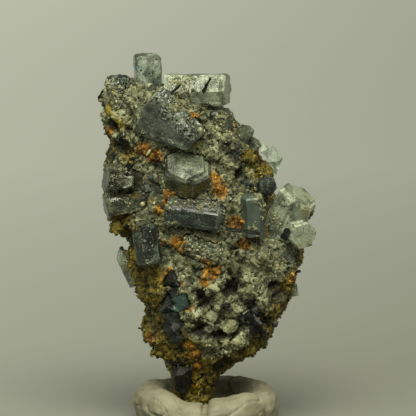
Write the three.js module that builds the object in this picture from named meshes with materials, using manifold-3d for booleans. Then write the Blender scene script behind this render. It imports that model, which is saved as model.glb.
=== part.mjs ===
// Aquamarine prisms with fluorite and black schorl on a mica and feldspar matrix. The specimen
// stands on its narrow broken end, pressed into a ring of display putty.
// Millimetres. +Z is up, +X is to the right of the specimen's front and +Y runs away from the front.
// The origin is the middle of the underside of the bounding box, where the putty meets the shelf.
import * as THREE from "three";
import { ConvexGeometry } from "three/addons/geometries/ConvexGeometry.js";
import { mergeVertices } from "three/addons/utils/BufferGeometryUtils.js";
import Module from "manifold-3d";

const wasm = await Module();
wasm.setup();

// Driving dimensions

const SEAT_GAP = 0.3; // room between a crystal and the pocket in the rock that it grew in
const SCHORL_BULGE = 0.12; // how far schorl's section swells towards a triangle
const NEEDLE_ACROSS = 1.5; // schorl thinner than this has six sides, and stouter schorl nine
const SCHORL_POINT = 0.2; // of its width, the length of the low point at a schorl's tip
const STEPPED_ACROSS = 6; // beryl prisms at least this wide have a stepped end
const BEVEL_POINT = 0.16; // of its radius, the length of the bevel round a beryl's end
const BEVEL_INSET = 0.8; // of that length, how far the bevel runs in
const OCTAHEDRON_REACH = Math.sqrt(3); // how far its tips move out when its faces move out by 1
const WELD = 1e-3; // vertices closer than this are one vertex

const PUTTY_RADIUS = 18.4; // the ring of putty, outside
const PUTTY_HEIGHT = 9.2; // top of the rim above the shelf
const PUTTY_FLOOR = 5.2; // top of the putty inside the rim, round the foot of the rock
const PUTTY_SEAM = { around: -1.6, width: 0.14, depth: 1.5 }; // where the strand's two ends meet
const PUTTY_WAVES = [
  { height: 0.55, count: 2, start: 0.6 },
  { height: 0.35, count: 5, start: 0 },
]; // how the rim rises and falls on its way round
const PRINT_GAP = 0.5; // room between the specimen and the print that it leaves in the putty
const PRINT_REACH = 13.2; // the specimen below this height takes part in the print

// The rock's outline, as level sections from the foot up:
// height, then the section's left, right, front and back edges.
const SECTIONS = [
  [3.2, -8.2, 0.4, -3.6, 3.2],
  [6.1, -9.0, 1.6, -4.6, 4.2],
  [9.0, -9.2, 2.4, -5.4, 5.0],
  [11.4, -9.3, 3.4, -6.2, 5.8],
  [13.4, -9.4, 4.8, -7.2, 6.8],
  [15.3, -9.4, 7.0, -8.4, 8.0],
  [17.2, -11.6, 10.6, -9.8, 9.4],
  [19.4, -14.4, 15.2, -11.2, 10.8],
  [22.4, -15.6, 16.9, -12.3, 12.0],
  [26.0, -15.4, 18.4, -13.0, 13.0],
  [30.3, -16.0, 20.7, -13.6, 14.0],
  [34.5, -17.6, 23.1, -14.0, 14.8],
  [38.5, -18.4, 24.1, -14.0, 15.2],
  [42.0, -19.2, 24.7, -13.8, 15.4],
  [45.5, -19.6, 23.2, -13.6, 15.4],
  [48.4, -21.6, 20.6, -13.4, 15.3],
  [51.5, -24.2, 18.4, -13.2, 15.0],
  [55.0, -25.4, 17.2, -13.0, 14.6],
  [58.6, -26.0, 15.6, -12.6, 14.0],
  [62.0, -25.2, 15.4, -12.4, 13.2],
  [65.4, -24.8, 15.4, -12.0, 12.6],
  [69.0, -24.2, 12.8, -12.2, 11.8],
  [73.0, -25.6, 9.8, -12.4, 11.0],
  [77.0, -25.6, 6.6, -12.2, 10.0],
  [80.4, -25.4, 2.6, -11.4, 9.0],
  [82.6, -26.4, -2.8, -10.2, 8.0],
  [85.0, -24.6, -5.6, -8.4, 6.6],
  [86.4, -22.6, -14.0, -6.0, 4.0],
];
const SECTION_SQUARENESS = 2.7; // 2 is an ellipse, more is boxier
const ROCK_COLUMNS = 36;
const ROCK_ROWS = 33;
const ROCK_ROUGHNESS = 2.6; // how far the broken surface wanders in and out
const ROCK_GRAIN = 7.5; // size of those swells
const ROCK_JITTER = 0.9; // how far its corners are thrown about
const ROCK_INSET = 1; // the plain surface lies this far inside the outline, and lumps fill it out
const ROUGH_ABOVE = 20; // below this height the surface grows smoother towards the foot
const KNUCKLES = { count: 190, least: 2.2, most: 4.4, seed: 5 }; // lumps of mica and feldspar
const KNUCKLE_HEIGHT = 0.5; // of its radius, how far a lump stands out
const PITS = { count: 46, least: 2.0, most: 3.4, seed: 23 };
const PIT_DEPTH = 0.55;
const BUMPS_ABOVE = 11.4; // no lumps or pits are scattered on the foot
const LUMP = { corners: 14, least: 0.85, spread: 0.25, seed: 11 }; // least and spread, of its radius

// Knobs and ledges that shape the outline: x, y, z and radius.
const LEDGES = [
  [-25.2, -2.0, 82.4, 2.3],
  [-24.0, -3.0, 73.6, 2.4],
  [-23.4, -4.0, 79.0, 2.6],
  [-13.8, -4.0, 22.2, 2.8],
  [-12.2, -5.5, 19.4, 2.4],
  [14.2, -4.0, 21.2, 2.6],
  [11.0, -5.5, 20.4, 2.5],
  [20.8, -4.5, 37.6, 2.6],
  [20.2, -5.0, 33.0, 2.4],
  [14.6, -5.0, 64.0, 2.6],
  [-21.8, -6.0, 50.2, 2.8],
  [9.4, -6.0, 73.4, 2.3],
  [7.0, -7.0, 77.4, 2.2],
  [9.2, -13.6, 36.4, 3.2],
  [0.6, -13.4, 37.8, 3.0],
  [4.6, -13.8, 31.4, 3.1],
  [13.8, -13.0, 43.4, 3.4],
  [7.0, -13.0, 44.0, 2.8],
  [0.2, -12.6, 26.4, 2.8],
  [9.6, -11.4, 24.2, 2.8],
  [8.4, -12.0, 66.2, 3.0],
  [5.6, -11.6, 72.0, 2.8],
  [15.6, -12.6, 53.4, 2.6],
  [-1.6, -11.6, 79.4, 2.4],
];

// Deep dark hollows: x, y, z and radius.
const HOLLOWS = [
  [-9.2, -10.6, 83.2, 1.9],
  [7.6, -15.8, 47.6, 1.7],
  [11.4, -14.6, 27.4, 3.0],
  [-2.2, -13.2, 77.0, 1.9],
  [19.6, -11.8, 47.0, 1.8],
  [-12.8, -13.6, 66.8, 1.9],
  [0.4, -15.6, 42.4, 1.8],
];

// Crystals. tip is the middle of the end face, axis points out of the rock, and across is the
// width over the corners. squash flattens a prism, turn spins it about its axis and point is the
// length of the slope that ends it.
const AQUAMARINES = {
  aquamarine_top: [
    { tip: [-14.9, -4.4, 93.3], axis: [-0.03, -0.06, 1], length: 17, across: 7.4, turn: 8 },
  ],
  aquamarine_upper_left: [
    { tip: [-22.3, -7.2, 87.8], axis: [-0.18, -0.3, 0.9], length: 7.5, across: 6.4, turn: 22 },
  ],
  aquamarine_block: [
    { tip: [5.1, -7.6, 84.8], axis: [0.965, -0.25, 0.03], length: 15.5, across: 9.6, turn: 26 },
  ],
  aquamarine_under_block: [
    { tip: [2.6, -7.4, 80.0], axis: [0.06, -0.12, 0.99], length: 11, across: 8.8, turn: 4 },
  ],
  aquamarine_diagonal: [
    { tip: [-2.6, -12.6, 72.6], axis: [0.7, -0.1, -0.71], length: 15.4, across: 8.4, turn: 12 },
    { tip: [-4.6, -11.0, 73.6], axis: [0.97, -0.12, -0.22], length: 13, across: 6.0, turn: 30 },
  ],
  aquamarine_centre: [
    { tip: [-4.9, -13.9, 67.2], axis: [0.02, -0.67, 0.74], length: 6.4, across: 12.4, turn: 4 },
  ],
  aquamarine_left_group: [
    { tip: [-25.2, -8.6, 62.8], axis: [-0.95, -0.28, 0.12], length: 12, across: 8.8, turn: 18 },
    { tip: [-25.3, -9.2, 55.8], axis: [-0.95, -0.18, -0.2], length: 14, across: 8.2, turn: 40 },
    { tip: [-20.0, -14.4, 63.2], axis: [-0.1, -0.95, 0.25], length: 5, across: 4.6, turn: 10 },
  ],
  aquamarine_middle: [
    { tip: [3.9, -12.4, 53.4], axis: [0.985, -0.05, -0.13], length: 14, across: 9.0, turn: 22 },
  ],
  aquamarine_slate: [
    { tip: [11.0, -13.0, 59.2], axis: [-0.06, -0.16, 0.98], length: 10, across: 5.8, turn: 27 },
  ],
  aquamarine_lower_middle: [
    { tip: [3.2, -13.0, 43.6], axis: [0.9, -0.1, -0.36], length: 10, across: 6.2, turn: 20 },
  ],
  aquamarine_right_group: [
    { tip: [23.0, -6.6, 58.7], axis: [0.42, -0.3, 0.86], length: 12, across: 10.6, turn: 14 },
    { tip: [23.8, -9.8, 48.8], axis: [0.3, -0.93, -0.1], length: 9, across: 8.0, turn: 20 },
  ],
  aquamarine_right_shoulder: [
    { tip: [9.9, -6.4, 75.4], axis: [0.3, -0.2, 0.93], length: 6, across: 4.4, turn: 0 },
    { tip: [12.2, -6.2, 72.0], axis: [0.6, -0.25, 0.76], length: 6.5, across: 3.8, turn: 15 },
  ],
  aquamarine_right_small: [
    { tip: [15.4, -8.9, 61.4], axis: [0.5, -0.78, 0.3], length: 7, across: 5.4, turn: 12 },
  ],
  aquamarine_lower_left: [
    { tip: [-14.0, -13.2, 42.2], axis: [0.17, -0.1, -0.98], length: 10.5, across: 6.6, turn: 5 },
  ],
  aquamarine_left_blade: [
    {
      tip: [-21.6, -3.6, 44.4],
      axis: [-0.41, -0.08, 0.91],
      length: 10,
      across: 4.4,
      squash: 0.5,
      turn: 0,
      point: 0.8,
    },
  ],
  aquamarine_back_upper: [
    { tip: [-6.0, 13.0, 75.0], axis: [0.5, 0.5, 0.7], length: 15, across: 8.6, turn: 10 },
    { tip: [-1.0, 13.8, 66.4], axis: [0.86, 0.42, 0.3], length: 12, across: 6.2, turn: 25 },
  ],
  aquamarine_back_lower: [
    { tip: [-8.6, 16.2, 46.6], axis: [-0.4, 0.85, 0.35], length: 10, across: 9.4, turn: 0 },
  ],
};

const FLUORITE_OCTAHEDRA = {
  fluorite_right: [
    { middle: [16.7, -4.6, 67.0], half: [2.3, 2.0, 4.0], lean: [8, -9, 14] },
    { middle: [14.3, -5.4, 69.6], half: [1.4, 1.2, 2.2], lean: [-6, -16, 30] },
  ],
  fluorite_back: [
    { middle: [8.0, 13.4, 58.6], half: [4.2, 4.2, 4.2], lean: [30, 20, 40] },
  ],
};

const FLUORITE_CUBES = {
  fluorite_cluster: [
    { middle: [-8.6, -11.9, 37.8], edge: 3.4, lean: [54, 30, 18] },
    { middle: [-8.0, -12.2, 34.9], edge: 2.8, lean: [20, 54, 40] },
    { middle: [-6.2, -12.3, 32.9], edge: 3.6, lean: [36, 66, 24] },
    { middle: [-9.2, -11.9, 31.6], edge: 3.6, lean: [60, 20, 18] },
    { middle: [-8.8, -11.9, 28.8], edge: 3.2, lean: [18, 58, 50] },
    { middle: [-7.4, -12.3, 27.4], edge: 2.4, lean: [36, 34, 36] },
    { middle: [-8.8, -11.5, 25.6], edge: 3.0, lean: [66, 36, 42] },
    { middle: [-7.8, -11.3, 23.4], edge: 2.4, lean: [40, 16, 30] },
  ],
};

const SCHORLS = {
  schorl_needle_hollow: [
    { tip: [-6.3, -13.6, 86.8], axis: [0.7, -0.05, 0.6], length: 3.4, across: 0.8 },
  ],
  schorl_needle_block: [
    { tip: [0.9, -12.5, 88.4], axis: [0.45, -0.2, 0.87], length: 4.4, across: 0.8 },
  ],
  schorl_needle_knob: [
    { tip: [-25.7, -4.4, 84.4], axis: [0.5, -0.3, 0.8], length: 2.6, across: 0.7 },
  ],
  schorl_bar: [
    { tip: [13.4, -16.4, 50.2], axis: [0.98, -0.14, -0.12], length: 9.0, across: 1.0 },
  ],
  schorl_left_prism: [
    { tip: [-17.4, -15.3, 68.9], axis: [0.62, -0.2, 0.76], length: 4.6, across: 1.7 },
  ],
  schorl_lower_right: [
    { tip: [9.6, -14.6, 30.4], axis: [-0.5, -0.4, 0.77], length: 6.4, across: 2.4 },
    { tip: [13.8, -14.0, 26.4], axis: [0.7, -0.35, -0.62], length: 6.4, across: 2.2 },
    { tip: [11.0, -14.4, 24.6], axis: [-0.1, -0.4, -0.9], length: 5.0, across: 1.8 },
  ],
  schorl_foot: [
    { tip: [-6.8, -8.6, 15.8], axis: [-0.1, -0.5, 0.86], length: 6.4, across: 5.0 },
    { tip: [-5.9, -7.2, 8.2], axis: [0.04, -0.2, -0.98], length: 6.0, across: 1.8 },
  ],
  schorl_right: [
    { tip: [18.9, -13.4, 48.4], axis: [-0.3, -0.8, -0.5], length: 3.4, across: 2.0 },
  ],
  schorl_back: [
    { tip: [10.4, 15.4, 40.2], axis: [0.7, 0.5, 0.5], length: 9.0, across: 3.0 },
    { tip: [6.6, 17.2, 36.6], axis: [-0.2, 0.9, -0.35], length: 7.0, across: 2.4 },
  ],
};

// Solids and chance

// Turns a closed shape into a solid that can be joined and cut.
function solidFrom(geometry) {
  const bare = new THREE.BufferGeometry();
  bare.setAttribute("position", geometry.getAttribute("position").clone());
  bare.setIndex(geometry.index ? geometry.index.clone() : null);
  const welded = mergeVertices(bare, WELD);
  const corners = welded.index.array;
  const triangles = [];
  for (let i = 0; i < corners.length; i += 3) {
    const [a, b, c] = [corners[i], corners[i + 1], corners[i + 2]];
    if (a !== b && b !== c && c !== a) triangles.push(a, b, c);
  }
  return new wasm.Manifold(
    new wasm.Mesh({
      numProp: 3,
      vertProperties: welded.attributes.position.array,
      triVerts: new Uint32Array(triangles),
    }),
  );
}

// Turns a solid back into a geometry with flat faces.
function geometryFrom(solid) {
  const { vertProperties, triVerts } = solid.getMesh();
  const geometry = new THREE.BufferGeometry();
  geometry.setAttribute("position", new THREE.BufferAttribute(vertProperties, 3));
  geometry.setIndex(new THREE.BufferAttribute(triVerts, 1));
  const faceted = geometry.toNonIndexed();
  faceted.computeVertexNormals();
  return faceted;
}

function join(solids) {
  return solids.reduce((whole, solid) => whole.add(solid));
}

// The corners of a solid.
function cornersOf(solid) {
  const { vertProperties } = solid.getMesh();
  return Array.from({ length: vertProperties.length / 3 }, (_, i) =>
    new THREE.Vector3().fromArray(vertProperties, 3 * i),
  );
}

// The smallest solid without hollows round some points.
function hull(points) {
  return solidFrom(new ConvexGeometry(points));
}

function largestPiece(solid) {
  const pieces = solid.decompose();
  return pieces.reduce((best, piece) => (piece.volume() > best.volume() ? piece : best));
}

// Small seeded random numbers, so that the rock is the same on every run.
function chance(seed) {
  let state = seed;
  return () => {
    state = (state + 0x6d2b79f5) | 0;
    let mixed = Math.imul(state ^ (state >>> 15), 1 | state);
    mixed = (mixed + Math.imul(mixed ^ (mixed >>> 7), 61 | mixed)) ^ mixed;
    return ((mixed ^ (mixed >>> 14)) >>> 0) / 4294967296;
  };
}

function lattice(i, j, k) {
  const mixed = Math.sin(i * 127.1 + j * 311.7 + k * 74.7) * 43758.5453;
  return mixed - Math.floor(mixed);
}

// Smooth noise from 0 to 1.
function swell(x, y, z) {
  const [i, j, k] = [Math.floor(x), Math.floor(y), Math.floor(z)];
  const ease = (t) => t * t * (3 - 2 * t);
  const [u, v, w] = [ease(x - i), ease(y - j), ease(z - k)];
  const mix = THREE.MathUtils.lerp;
  const row = (b, c) => mix(lattice(i, j + b, k + c), lattice(i + 1, j + b, k + c), u);
  return mix(mix(row(0, 0), row(1, 0), v), mix(row(0, 1), row(1, 1), v), w);
}

// Crystals

// Carries a shape that stands along +Y, with its tip at the origin, to its place on the rock.
function plant(geometry, { tip, axis, turn = 0 }) {
  const up = new THREE.Vector3(0, 1, 0);
  geometry.rotateY(THREE.MathUtils.degToRad(turn));
  geometry.applyQuaternion(
    new THREE.Quaternion().setFromUnitVectors(up, new THREE.Vector3(...axis).normalize()),
  );
  return geometry.translate(...tip);
}

// A six-sided beryl prism with a flat end and a bevel round it. grow thickens it all over.
function berylPrism({ length, radius, squash, point, grow }) {
  const thick = radius + grow;
  const slope = point * radius;
  const profile = [
    [0, -length - grow],
    [thick, -length - grow],
    [thick, grow - slope],
    [thick - slope * BEVEL_INSET, grow],
    [0, grow],
  ].map(([x, y]) => new THREE.Vector2(x, y));
  return new THREE.LatheGeometry(profile, 6).scale(1, 1, squash);
}

// One beryl crystal. A stout one is a main prism with a parallel, slightly shorter one fused
// along its side.
function beryl(crystal, grow = 0) {
  const { length, across, squash = 1, point = BEVEL_POINT } = crystal;
  const radius = across / 2;
  const stepped = [
    { aside: -0.06, share: 0.94, drop: 0 },
    { aside: 0.24, share: 0.78, drop: 0.12 },
  ];
  const growths = across < STEPPED_ACROSS ? [{ aside: 0, share: 1, drop: 0 }] : stepped;
  const prisms = growths.map(({ aside, share, drop }) => {
    const [long, thick] = [length * (1 - drop), radius * share];
    const prism = berylPrism({ length: long, radius: thick, squash, point, grow });
    prism.translate(aside * radius, -drop * radius, aside * radius * 0.5 * squash);
    return solidFrom(plant(prism, crystal));
  });
  return join(prisms);
}

// A schorl prism: six or nine sides in a bulging triangle, with a low point at its tip.
function schorl({ tip, axis, length, across, turn }, grow = 0) {
  const radius = across / 2 + grow;
  const profile = [
    [0, -length - grow],
    [radius, -length - grow],
    [radius, grow - across * SCHORL_POINT],
    [0, grow],
  ].map(([x, y]) => new THREE.Vector2(x, y));
  const prism = new THREE.LatheGeometry(profile, across < NEEDLE_ACROSS ? 6 : 9);
  const place = prism.getAttribute("position");
  for (let i = 0; i < place.count; i++) {
    const round = Math.atan2(place.getZ(i), place.getX(i));
    const bulge = 1 + SCHORL_BULGE * Math.cos(3 * round);
    place.setXYZ(i, place.getX(i) * bulge, place.getY(i), place.getZ(i) * bulge);
  }
  return solidFrom(plant(prism, { tip, axis, turn }));
}

// Turns a shape about X, Y and Z by degrees, and moves it to its middle.
function settle(shape, { middle, lean }) {
  const [x, y, z] = lean.map(THREE.MathUtils.degToRad);
  return solidFrom(shape.rotateX(x).rotateY(y).rotateZ(z).translate(...middle));
}

function fluoriteOctahedron({ middle, half, lean }, grow = 0) {
  const reach = half.map((size) => size + grow * OCTAHEDRON_REACH);
  return settle(new THREE.OctahedronGeometry(1).scale(...reach), { middle, lean });
}

function fluoriteCube({ middle, edge, lean }, grow = 0) {
  const side = edge + 2 * grow;
  return settle(new THREE.BoxGeometry(side, side, side), { middle, lean });
}

// Every crystal piece, as itself and as the slightly larger shape of its pocket in the rock.
function crystalPieces() {
  const kinds = [
    [AQUAMARINES, beryl, "aquamarine"],
    [FLUORITE_OCTAHEDRA, fluoriteOctahedron, "fluorite"],
    [FLUORITE_CUBES, fluoriteCube, "fluorite"],
    [SCHORLS, schorl, "schorl"],
  ];
  return kinds.flatMap(([crystals, make, mineral]) =>
    Object.entries(crystals).map(([name, members]) => ({
      name,
      mineral,
      solid: join(members.map((member) => make(member))),
      pockets: members.map((member) => hull(cornersOf(make(member, SEAT_GAP)))),
    })),
  );
}

// Rock

// The section at one height: its middle and its half widths.
function sectionAt(height) {
  let above = SECTIONS.findIndex(([z]) => z >= height);
  if (above < 0) above = SECTIONS.length - 1;
  const upper = SECTIONS[Math.max(above, 1)];
  const lower = SECTIONS[Math.max(above, 1) - 1];
  const share = THREE.MathUtils.clamp((height - lower[0]) / (upper[0] - lower[0]), 0, 1);
  const [, left, right, front, back] = lower.map((low, i) => low + (upper[i] - low) * share);
  return {
    x: (left + right) / 2,
    y: (front + back) / 2,
    wide: (right - left) / 2,
    deep: (back - front) / 2,
  };
}

// A point on the rock's plain outline: around is the angle from +X, and share runs in from the skin.
function skinPoint(height, around, share = 1) {
  const { x, y, wide, deep } = sectionAt(height);
  const bend = (value) => Math.sign(value) * Math.abs(value) ** (2 / SECTION_SQUARENESS);
  return new THREE.Vector3(
    x + share * wide * bend(Math.cos(around)),
    y + share * deep * bend(Math.sin(around)),
    height,
  );
}

// Bumps scattered over the skin, as a middle and a radius each.
function scatter({ count, least, most, seed }) {
  const random = chance(seed);
  const crown = SECTIONS[SECTIONS.length - 1][0];
  return Array.from({ length: count }, () => ({
    middle: skinPoint(BUMPS_ABOVE + (crown - BUMPS_ABOVE) * random(), 2 * Math.PI * random()),
    radius: least + (most - least) * random(),
  }));
}

// How far the tallest of some bumps lifts a point: each is a rounded cap.
function lift(point, bumps, share) {
  return bumps.reduce((most, { middle, radius }) => {
    const near = 1 - point.distanceToSquared(middle) / radius ** 2;
    return near > 0 ? Math.max(most, share * radius * Math.sqrt(near)) : most;
  }, 0);
}

// The body of the rock: its sections skinned over, with a rough, knuckled surface. The grid is a
// sphere's, whose rows run down from the crown and whose columns run round.
function rockBody() {
  const geometry = new THREE.SphereGeometry(1, ROCK_COLUMNS, ROCK_ROWS);
  const place = geometry.getAttribute("position");
  const [foot, crown] = [SECTIONS[0][0], SECTIONS[SECTIONS.length - 1][0]];
  const knuckles = scatter(KNUCKLES);
  const pits = scatter(PITS);
  for (let i = 0; i < place.count; i++) {
    const row = Math.floor(i / (ROCK_COLUMNS + 1));
    const column = (i % (ROCK_COLUMNS + 1)) % ROCK_COLUMNS;
    const pole = row === 0 || row === ROCK_ROWS;
    const down = THREE.MathUtils.clamp((row - 1) / (ROCK_ROWS - 2), 0, 1);
    const around = Math.PI * (1 + (2 * column) / ROCK_COLUMNS);
    const point = skinPoint(crown + (foot - crown) * down, around, pole ? 0 : 1);
    const out = skinPoint(point.z, around).sub(skinPoint(point.z, around, 0)).normalize();
    const wander = swell(point.x / ROCK_GRAIN, point.y / ROCK_GRAIN, point.z / ROCK_GRAIN) - 0.5;
    const jitter = lattice(row, column, 0) - 0.5;
    const bumps = lift(point, knuckles, KNUCKLE_HEIGHT) - lift(point, pits, PIT_DEPTH);
    const throwOut = wander * ROCK_ROUGHNESS + jitter * ROCK_JITTER + bumps - ROCK_INSET;
    if (!pole) point.addScaledVector(out, throwOut * Math.min(1, point.z / ROUGH_ABOVE));
    place.setXYZ(i, point.x, point.y, point.z);
  }
  return solidFrom(geometry);
}

// An angular lump of rock: the hull of a few scattered points.
function lump(centre, radius, random) {
  const corners = Array.from({ length: LUMP.corners }, () => {
    const away = new THREE.Vector3(random() - 0.5, random() - 0.5, random() - 0.5).normalize();
    return away.multiplyScalar(radius * (LUMP.least + LUMP.spread * random())).add(centre);
  });
  return hull(corners);
}

// The rock with its lumps and hollows, and a pocket for every crystal.
function rock(pieces) {
  const random = chance(LUMP.seed);
  const fixed = ([x, y, z, radius]) => lump(new THREE.Vector3(x, y, z), radius, random);
  const body = join([rockBody(), ...LEDGES.map(fixed)]);
  const cut = [...HOLLOWS.map(fixed), ...pieces.flatMap(({ pockets }) => pockets)];
  return largestPiece(cut.reduce((left, tool) => left.subtract(tool), body));
}

// Putty

// How far the rim stands above its plain height, at an angle round the ring.
function waves(around) {
  return PUTTY_WAVES.reduce(
    (sum, { height, count, start }) => sum + height * Math.sin(count * around + start),
    0,
  );
}

// How deep the crease between the strand's two ends is, at an angle round the ring.
function seam(around) {
  const { around: middle, width, depth } = PUTTY_SEAM;
  return depth * Math.exp(-(((around - middle) / width) ** 2));
}

// The putty ring: a low dish with a fat rim, hand rolled, its ends pinched together at the front.
function puttyRing() {
  const profile = [
    [0, 0],
    [16.9, 0],
    [18.0, 2.2],
    [PUTTY_RADIUS, 4.6],
    [17.6, 7.2],
    [15.8, 8.8],
    [13.6, PUTTY_HEIGHT],
    [11.4, 8.5],
    [9.9, 6.8],
    [9.0, PUTTY_FLOOR],
    [0, PUTTY_FLOOR],
  ].map(([x, y]) => new THREE.Vector2(x, y));
  const geometry = new THREE.LatheGeometry(profile, 30).rotateX(Math.PI / 2);
  const place = geometry.getAttribute("position");
  for (let i = 0; i < place.count; i++) {
    const [x, y, z] = [place.getX(i), place.getY(i), place.getZ(i)];
    const around = Math.atan2(y, x);
    const high = z > PUTTY_FLOOR ? (z - PUTTY_FLOOR) / (PUTTY_HEIGHT - PUTTY_FLOOR) : 0;
    place.setXYZ(i, x, y, z + high * (waves(around) - seam(around)));
  }
  return solidFrom(geometry);
}

// The putty, with the print of whatever part of the specimen is pressed into it.
function puttyWithPrint(solids) {
  const pressed = solids.flatMap(cornersOf).filter(({ z }) => z < PRINT_REACH);
  const middle = new THREE.Box3().setFromPoints(pressed).getCenter(new THREE.Vector3());
  const print = pressed.map((corner) => {
    const out = corner.clone().sub(middle).normalize();
    return corner.addScaledVector(out, PRINT_GAP);
  });
  return puttyRing().subtract(hull(print));
}

// Assembly

const FINISHES = {
  rock: { color: 0x8c8f6e, roughness: 0.85, metalness: 0 },
  aquamarine: { color: 0x7f9188, roughness: 0.2, metalness: 0, transparent: true, opacity: 0.7 },
  fluorite: { color: 0x46655c, roughness: 0.2, metalness: 0, transparent: true, opacity: 0.8 },
  schorl: { color: 0x10110f, roughness: 0.3, metalness: 0 },
  putty: { color: 0xb5b092, roughness: 0.9, metalness: 0 },
};

function piece(name, finish, solid) {
  const mesh = new THREE.Mesh(
    geometryFrom(solid),
    new THREE.MeshStandardMaterial(FINISHES[finish]),
  );
  mesh.name = name;
  return mesh;
}

const crystals = crystalPieces();
const matrix = rock(crystals);
const putty = puttyWithPrint([matrix, ...crystals.map(({ solid }) => solid)]);

const specimen = new THREE.Group();
specimen.add(piece("matrix", "rock", matrix));
for (const { name, mineral, solid } of crystals) specimen.add(piece(name, mineral, solid));
specimen.add(piece("putty_ring", "putty", putty));

export default specimen;
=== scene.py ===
# %% [markdown]
# Aquamarine with fluorite and schorl
#
# The specimen is a lump of mica and feldspar with blue-grey beryl prisms in it, black schorl
# needles, a little fluorite and rust-coloured iron oxide. It stands on its narrow broken foot in a
# ring of display putty. The CAD frame holds every crystal at its real size and place. This lesson
# gives each one its surface: the rock is remeshed and displaced, crumbs and flakes are scattered
# over it, and the crystals get etched faces and see-through material.

import math

import bmesh
import bpy
import numpy as np
from mathutils import Matrix, Vector, noise
from mathutils.bvhtree import BVHTree
from mathutils.kdtree import KDTree


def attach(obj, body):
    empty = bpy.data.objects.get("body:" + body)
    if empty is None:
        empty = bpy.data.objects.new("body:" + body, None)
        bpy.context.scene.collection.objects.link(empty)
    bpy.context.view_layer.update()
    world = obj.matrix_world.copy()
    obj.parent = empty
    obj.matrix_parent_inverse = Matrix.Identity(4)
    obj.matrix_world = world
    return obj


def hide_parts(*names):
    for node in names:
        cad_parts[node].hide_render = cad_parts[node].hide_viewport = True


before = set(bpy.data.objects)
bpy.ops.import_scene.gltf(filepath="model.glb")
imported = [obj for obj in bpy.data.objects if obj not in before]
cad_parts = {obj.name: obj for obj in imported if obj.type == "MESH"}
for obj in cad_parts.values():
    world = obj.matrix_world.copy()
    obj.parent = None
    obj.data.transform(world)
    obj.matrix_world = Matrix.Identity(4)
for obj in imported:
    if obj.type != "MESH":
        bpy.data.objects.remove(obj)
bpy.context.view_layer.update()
MM = 0.001
print("nodes in the frame:", len(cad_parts))

# %% [markdown]
# The camera looks slightly down at the front of the specimen through a long lens, so that upright
# edges stay upright. The photograph is 416 pixels wide and shows 4 pixels to a millimetre at the
# middle of the specimen. From that the lens follows: the picture's width at that distance, against
# the width of the sensor.

# %% Camera
PHOTO_WIDTH = 416
PIXELS_PER_MM = 4.0
SENSOR_WIDTH = 36.0
CAMERA_DISTANCE = 900 * MM
CAMERA_ELEVATION = math.radians(8)
CAMERA_TARGET = Vector((0.25, 0.0, 54.3)) * MM


def make_camera():
    """The camera at the photograph's angle, with its lens worked out from the picture's scale."""
    view_width = PHOTO_WIDTH / PIXELS_PER_MM * MM
    data = bpy.data.cameras.new("camera")
    data.sensor_width = SENSOR_WIDTH
    data.lens = SENSOR_WIDTH * CAMERA_DISTANCE / view_width
    camera = bpy.data.objects.new("camera", data)
    back = Vector((0, -math.cos(CAMERA_ELEVATION), math.sin(CAMERA_ELEVATION)))
    camera.location = CAMERA_TARGET + back * CAMERA_DISTANCE
    camera.rotation_euler = (math.pi / 2 - CAMERA_ELEVATION, 0, 0)
    data.clip_start, data.clip_end = 0.05, 60
    bpy.context.scene.collection.objects.link(camera)
    bpy.context.scene.camera = camera
    print("lens", round(data.lens), "mm")


make_camera()

# %% [markdown]
# The studio is a very wide pale floor, which fills the picture behind the specimen, a wide soft sun
# from the front and high above, a soft lamp on either side of the camera, and an even sky. The
# photograph's light is a little yellow-green, so the lamps are, and every material can keep the
# neutral colour it has in daylight.

# %% Lights
LAMP_TINT = (1.0, 1.01, 0.80)
LAMP_DISTANCE = 600 * MM
SKY_TINT = (1.0, 1.01, 0.72)
SKY_STRENGTH = 0.20
LAMPS = {
    "sun": {"kind": "SUN", "energy": 3.4, "direction": (-0.04, 0.62, -1.0), "angle": math.radians(45)},
    "softbox": {"kind": "AREA", "energy": 1.5, "direction": (0.3, 0.8, -0.8), "size": 0.30},
    "strip": {"kind": "AREA", "energy": 0.7, "direction": (-0.28, 0.75, -0.9), "size": 0.22},
}


def add_lamp(name, kind, direction, **settings):
    """A sun or a soft square lamp, which shines along a direction at the specimen."""
    data = bpy.data.lights.new(name, kind)
    data.color = LAMP_TINT
    for key, value in settings.items():
        setattr(data, key, value)
    lamp = bpy.data.objects.new(name, data)
    lamp.rotation_euler = Vector(direction).to_track_quat("-Z", "Y").to_euler()
    lamp.location = CAMERA_TARGET - Vector(direction).normalized() * LAMP_DISTANCE
    bpy.context.scene.collection.objects.link(lamp)


def light_the_room():
    """The even sky and the lamps."""
    world = bpy.data.worlds.new("sky")
    world.use_nodes = True
    sky = world.node_tree.nodes["Background"]
    sky.inputs["Color"].default_value = (*SKY_TINT, 1)
    sky.inputs["Strength"].default_value = SKY_STRENGTH
    bpy.context.scene.world = world
    for name, facts in LAMPS.items():
        add_lamp(name, **facts)
    bpy.context.scene.view_settings.view_transform = "Standard"


light_the_room()
print("lamps:", list(LAMPS))

# %% [markdown]
# Shader nodes are wired in many places below, so small helpers keep those places short. One adds a
# node and fills its sockets with numbers, colours or other nodes' outputs. Two give the place on
# the object, or in a crystal's own frame, in millimetres, so that a pattern's scale is a real size.

# %% Node helpers


def fill(tree, node, inputs):
    """Fills a node's sockets, each with a plain value or with another node's output."""
    for key, value in inputs.items():
        if isinstance(value, bpy.types.NodeSocket):
            tree.links.new(value, node.inputs[key])
        else:
            node.inputs[key].default_value = value


def add_node(tree, kind, inputs, **options):
    """A shader node with its options and sockets filled in."""
    made = tree.nodes.new("ShaderNode" + kind)
    for key, value in options.items():
        setattr(made, key, value)
    fill(tree, made, inputs)
    return made


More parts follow.
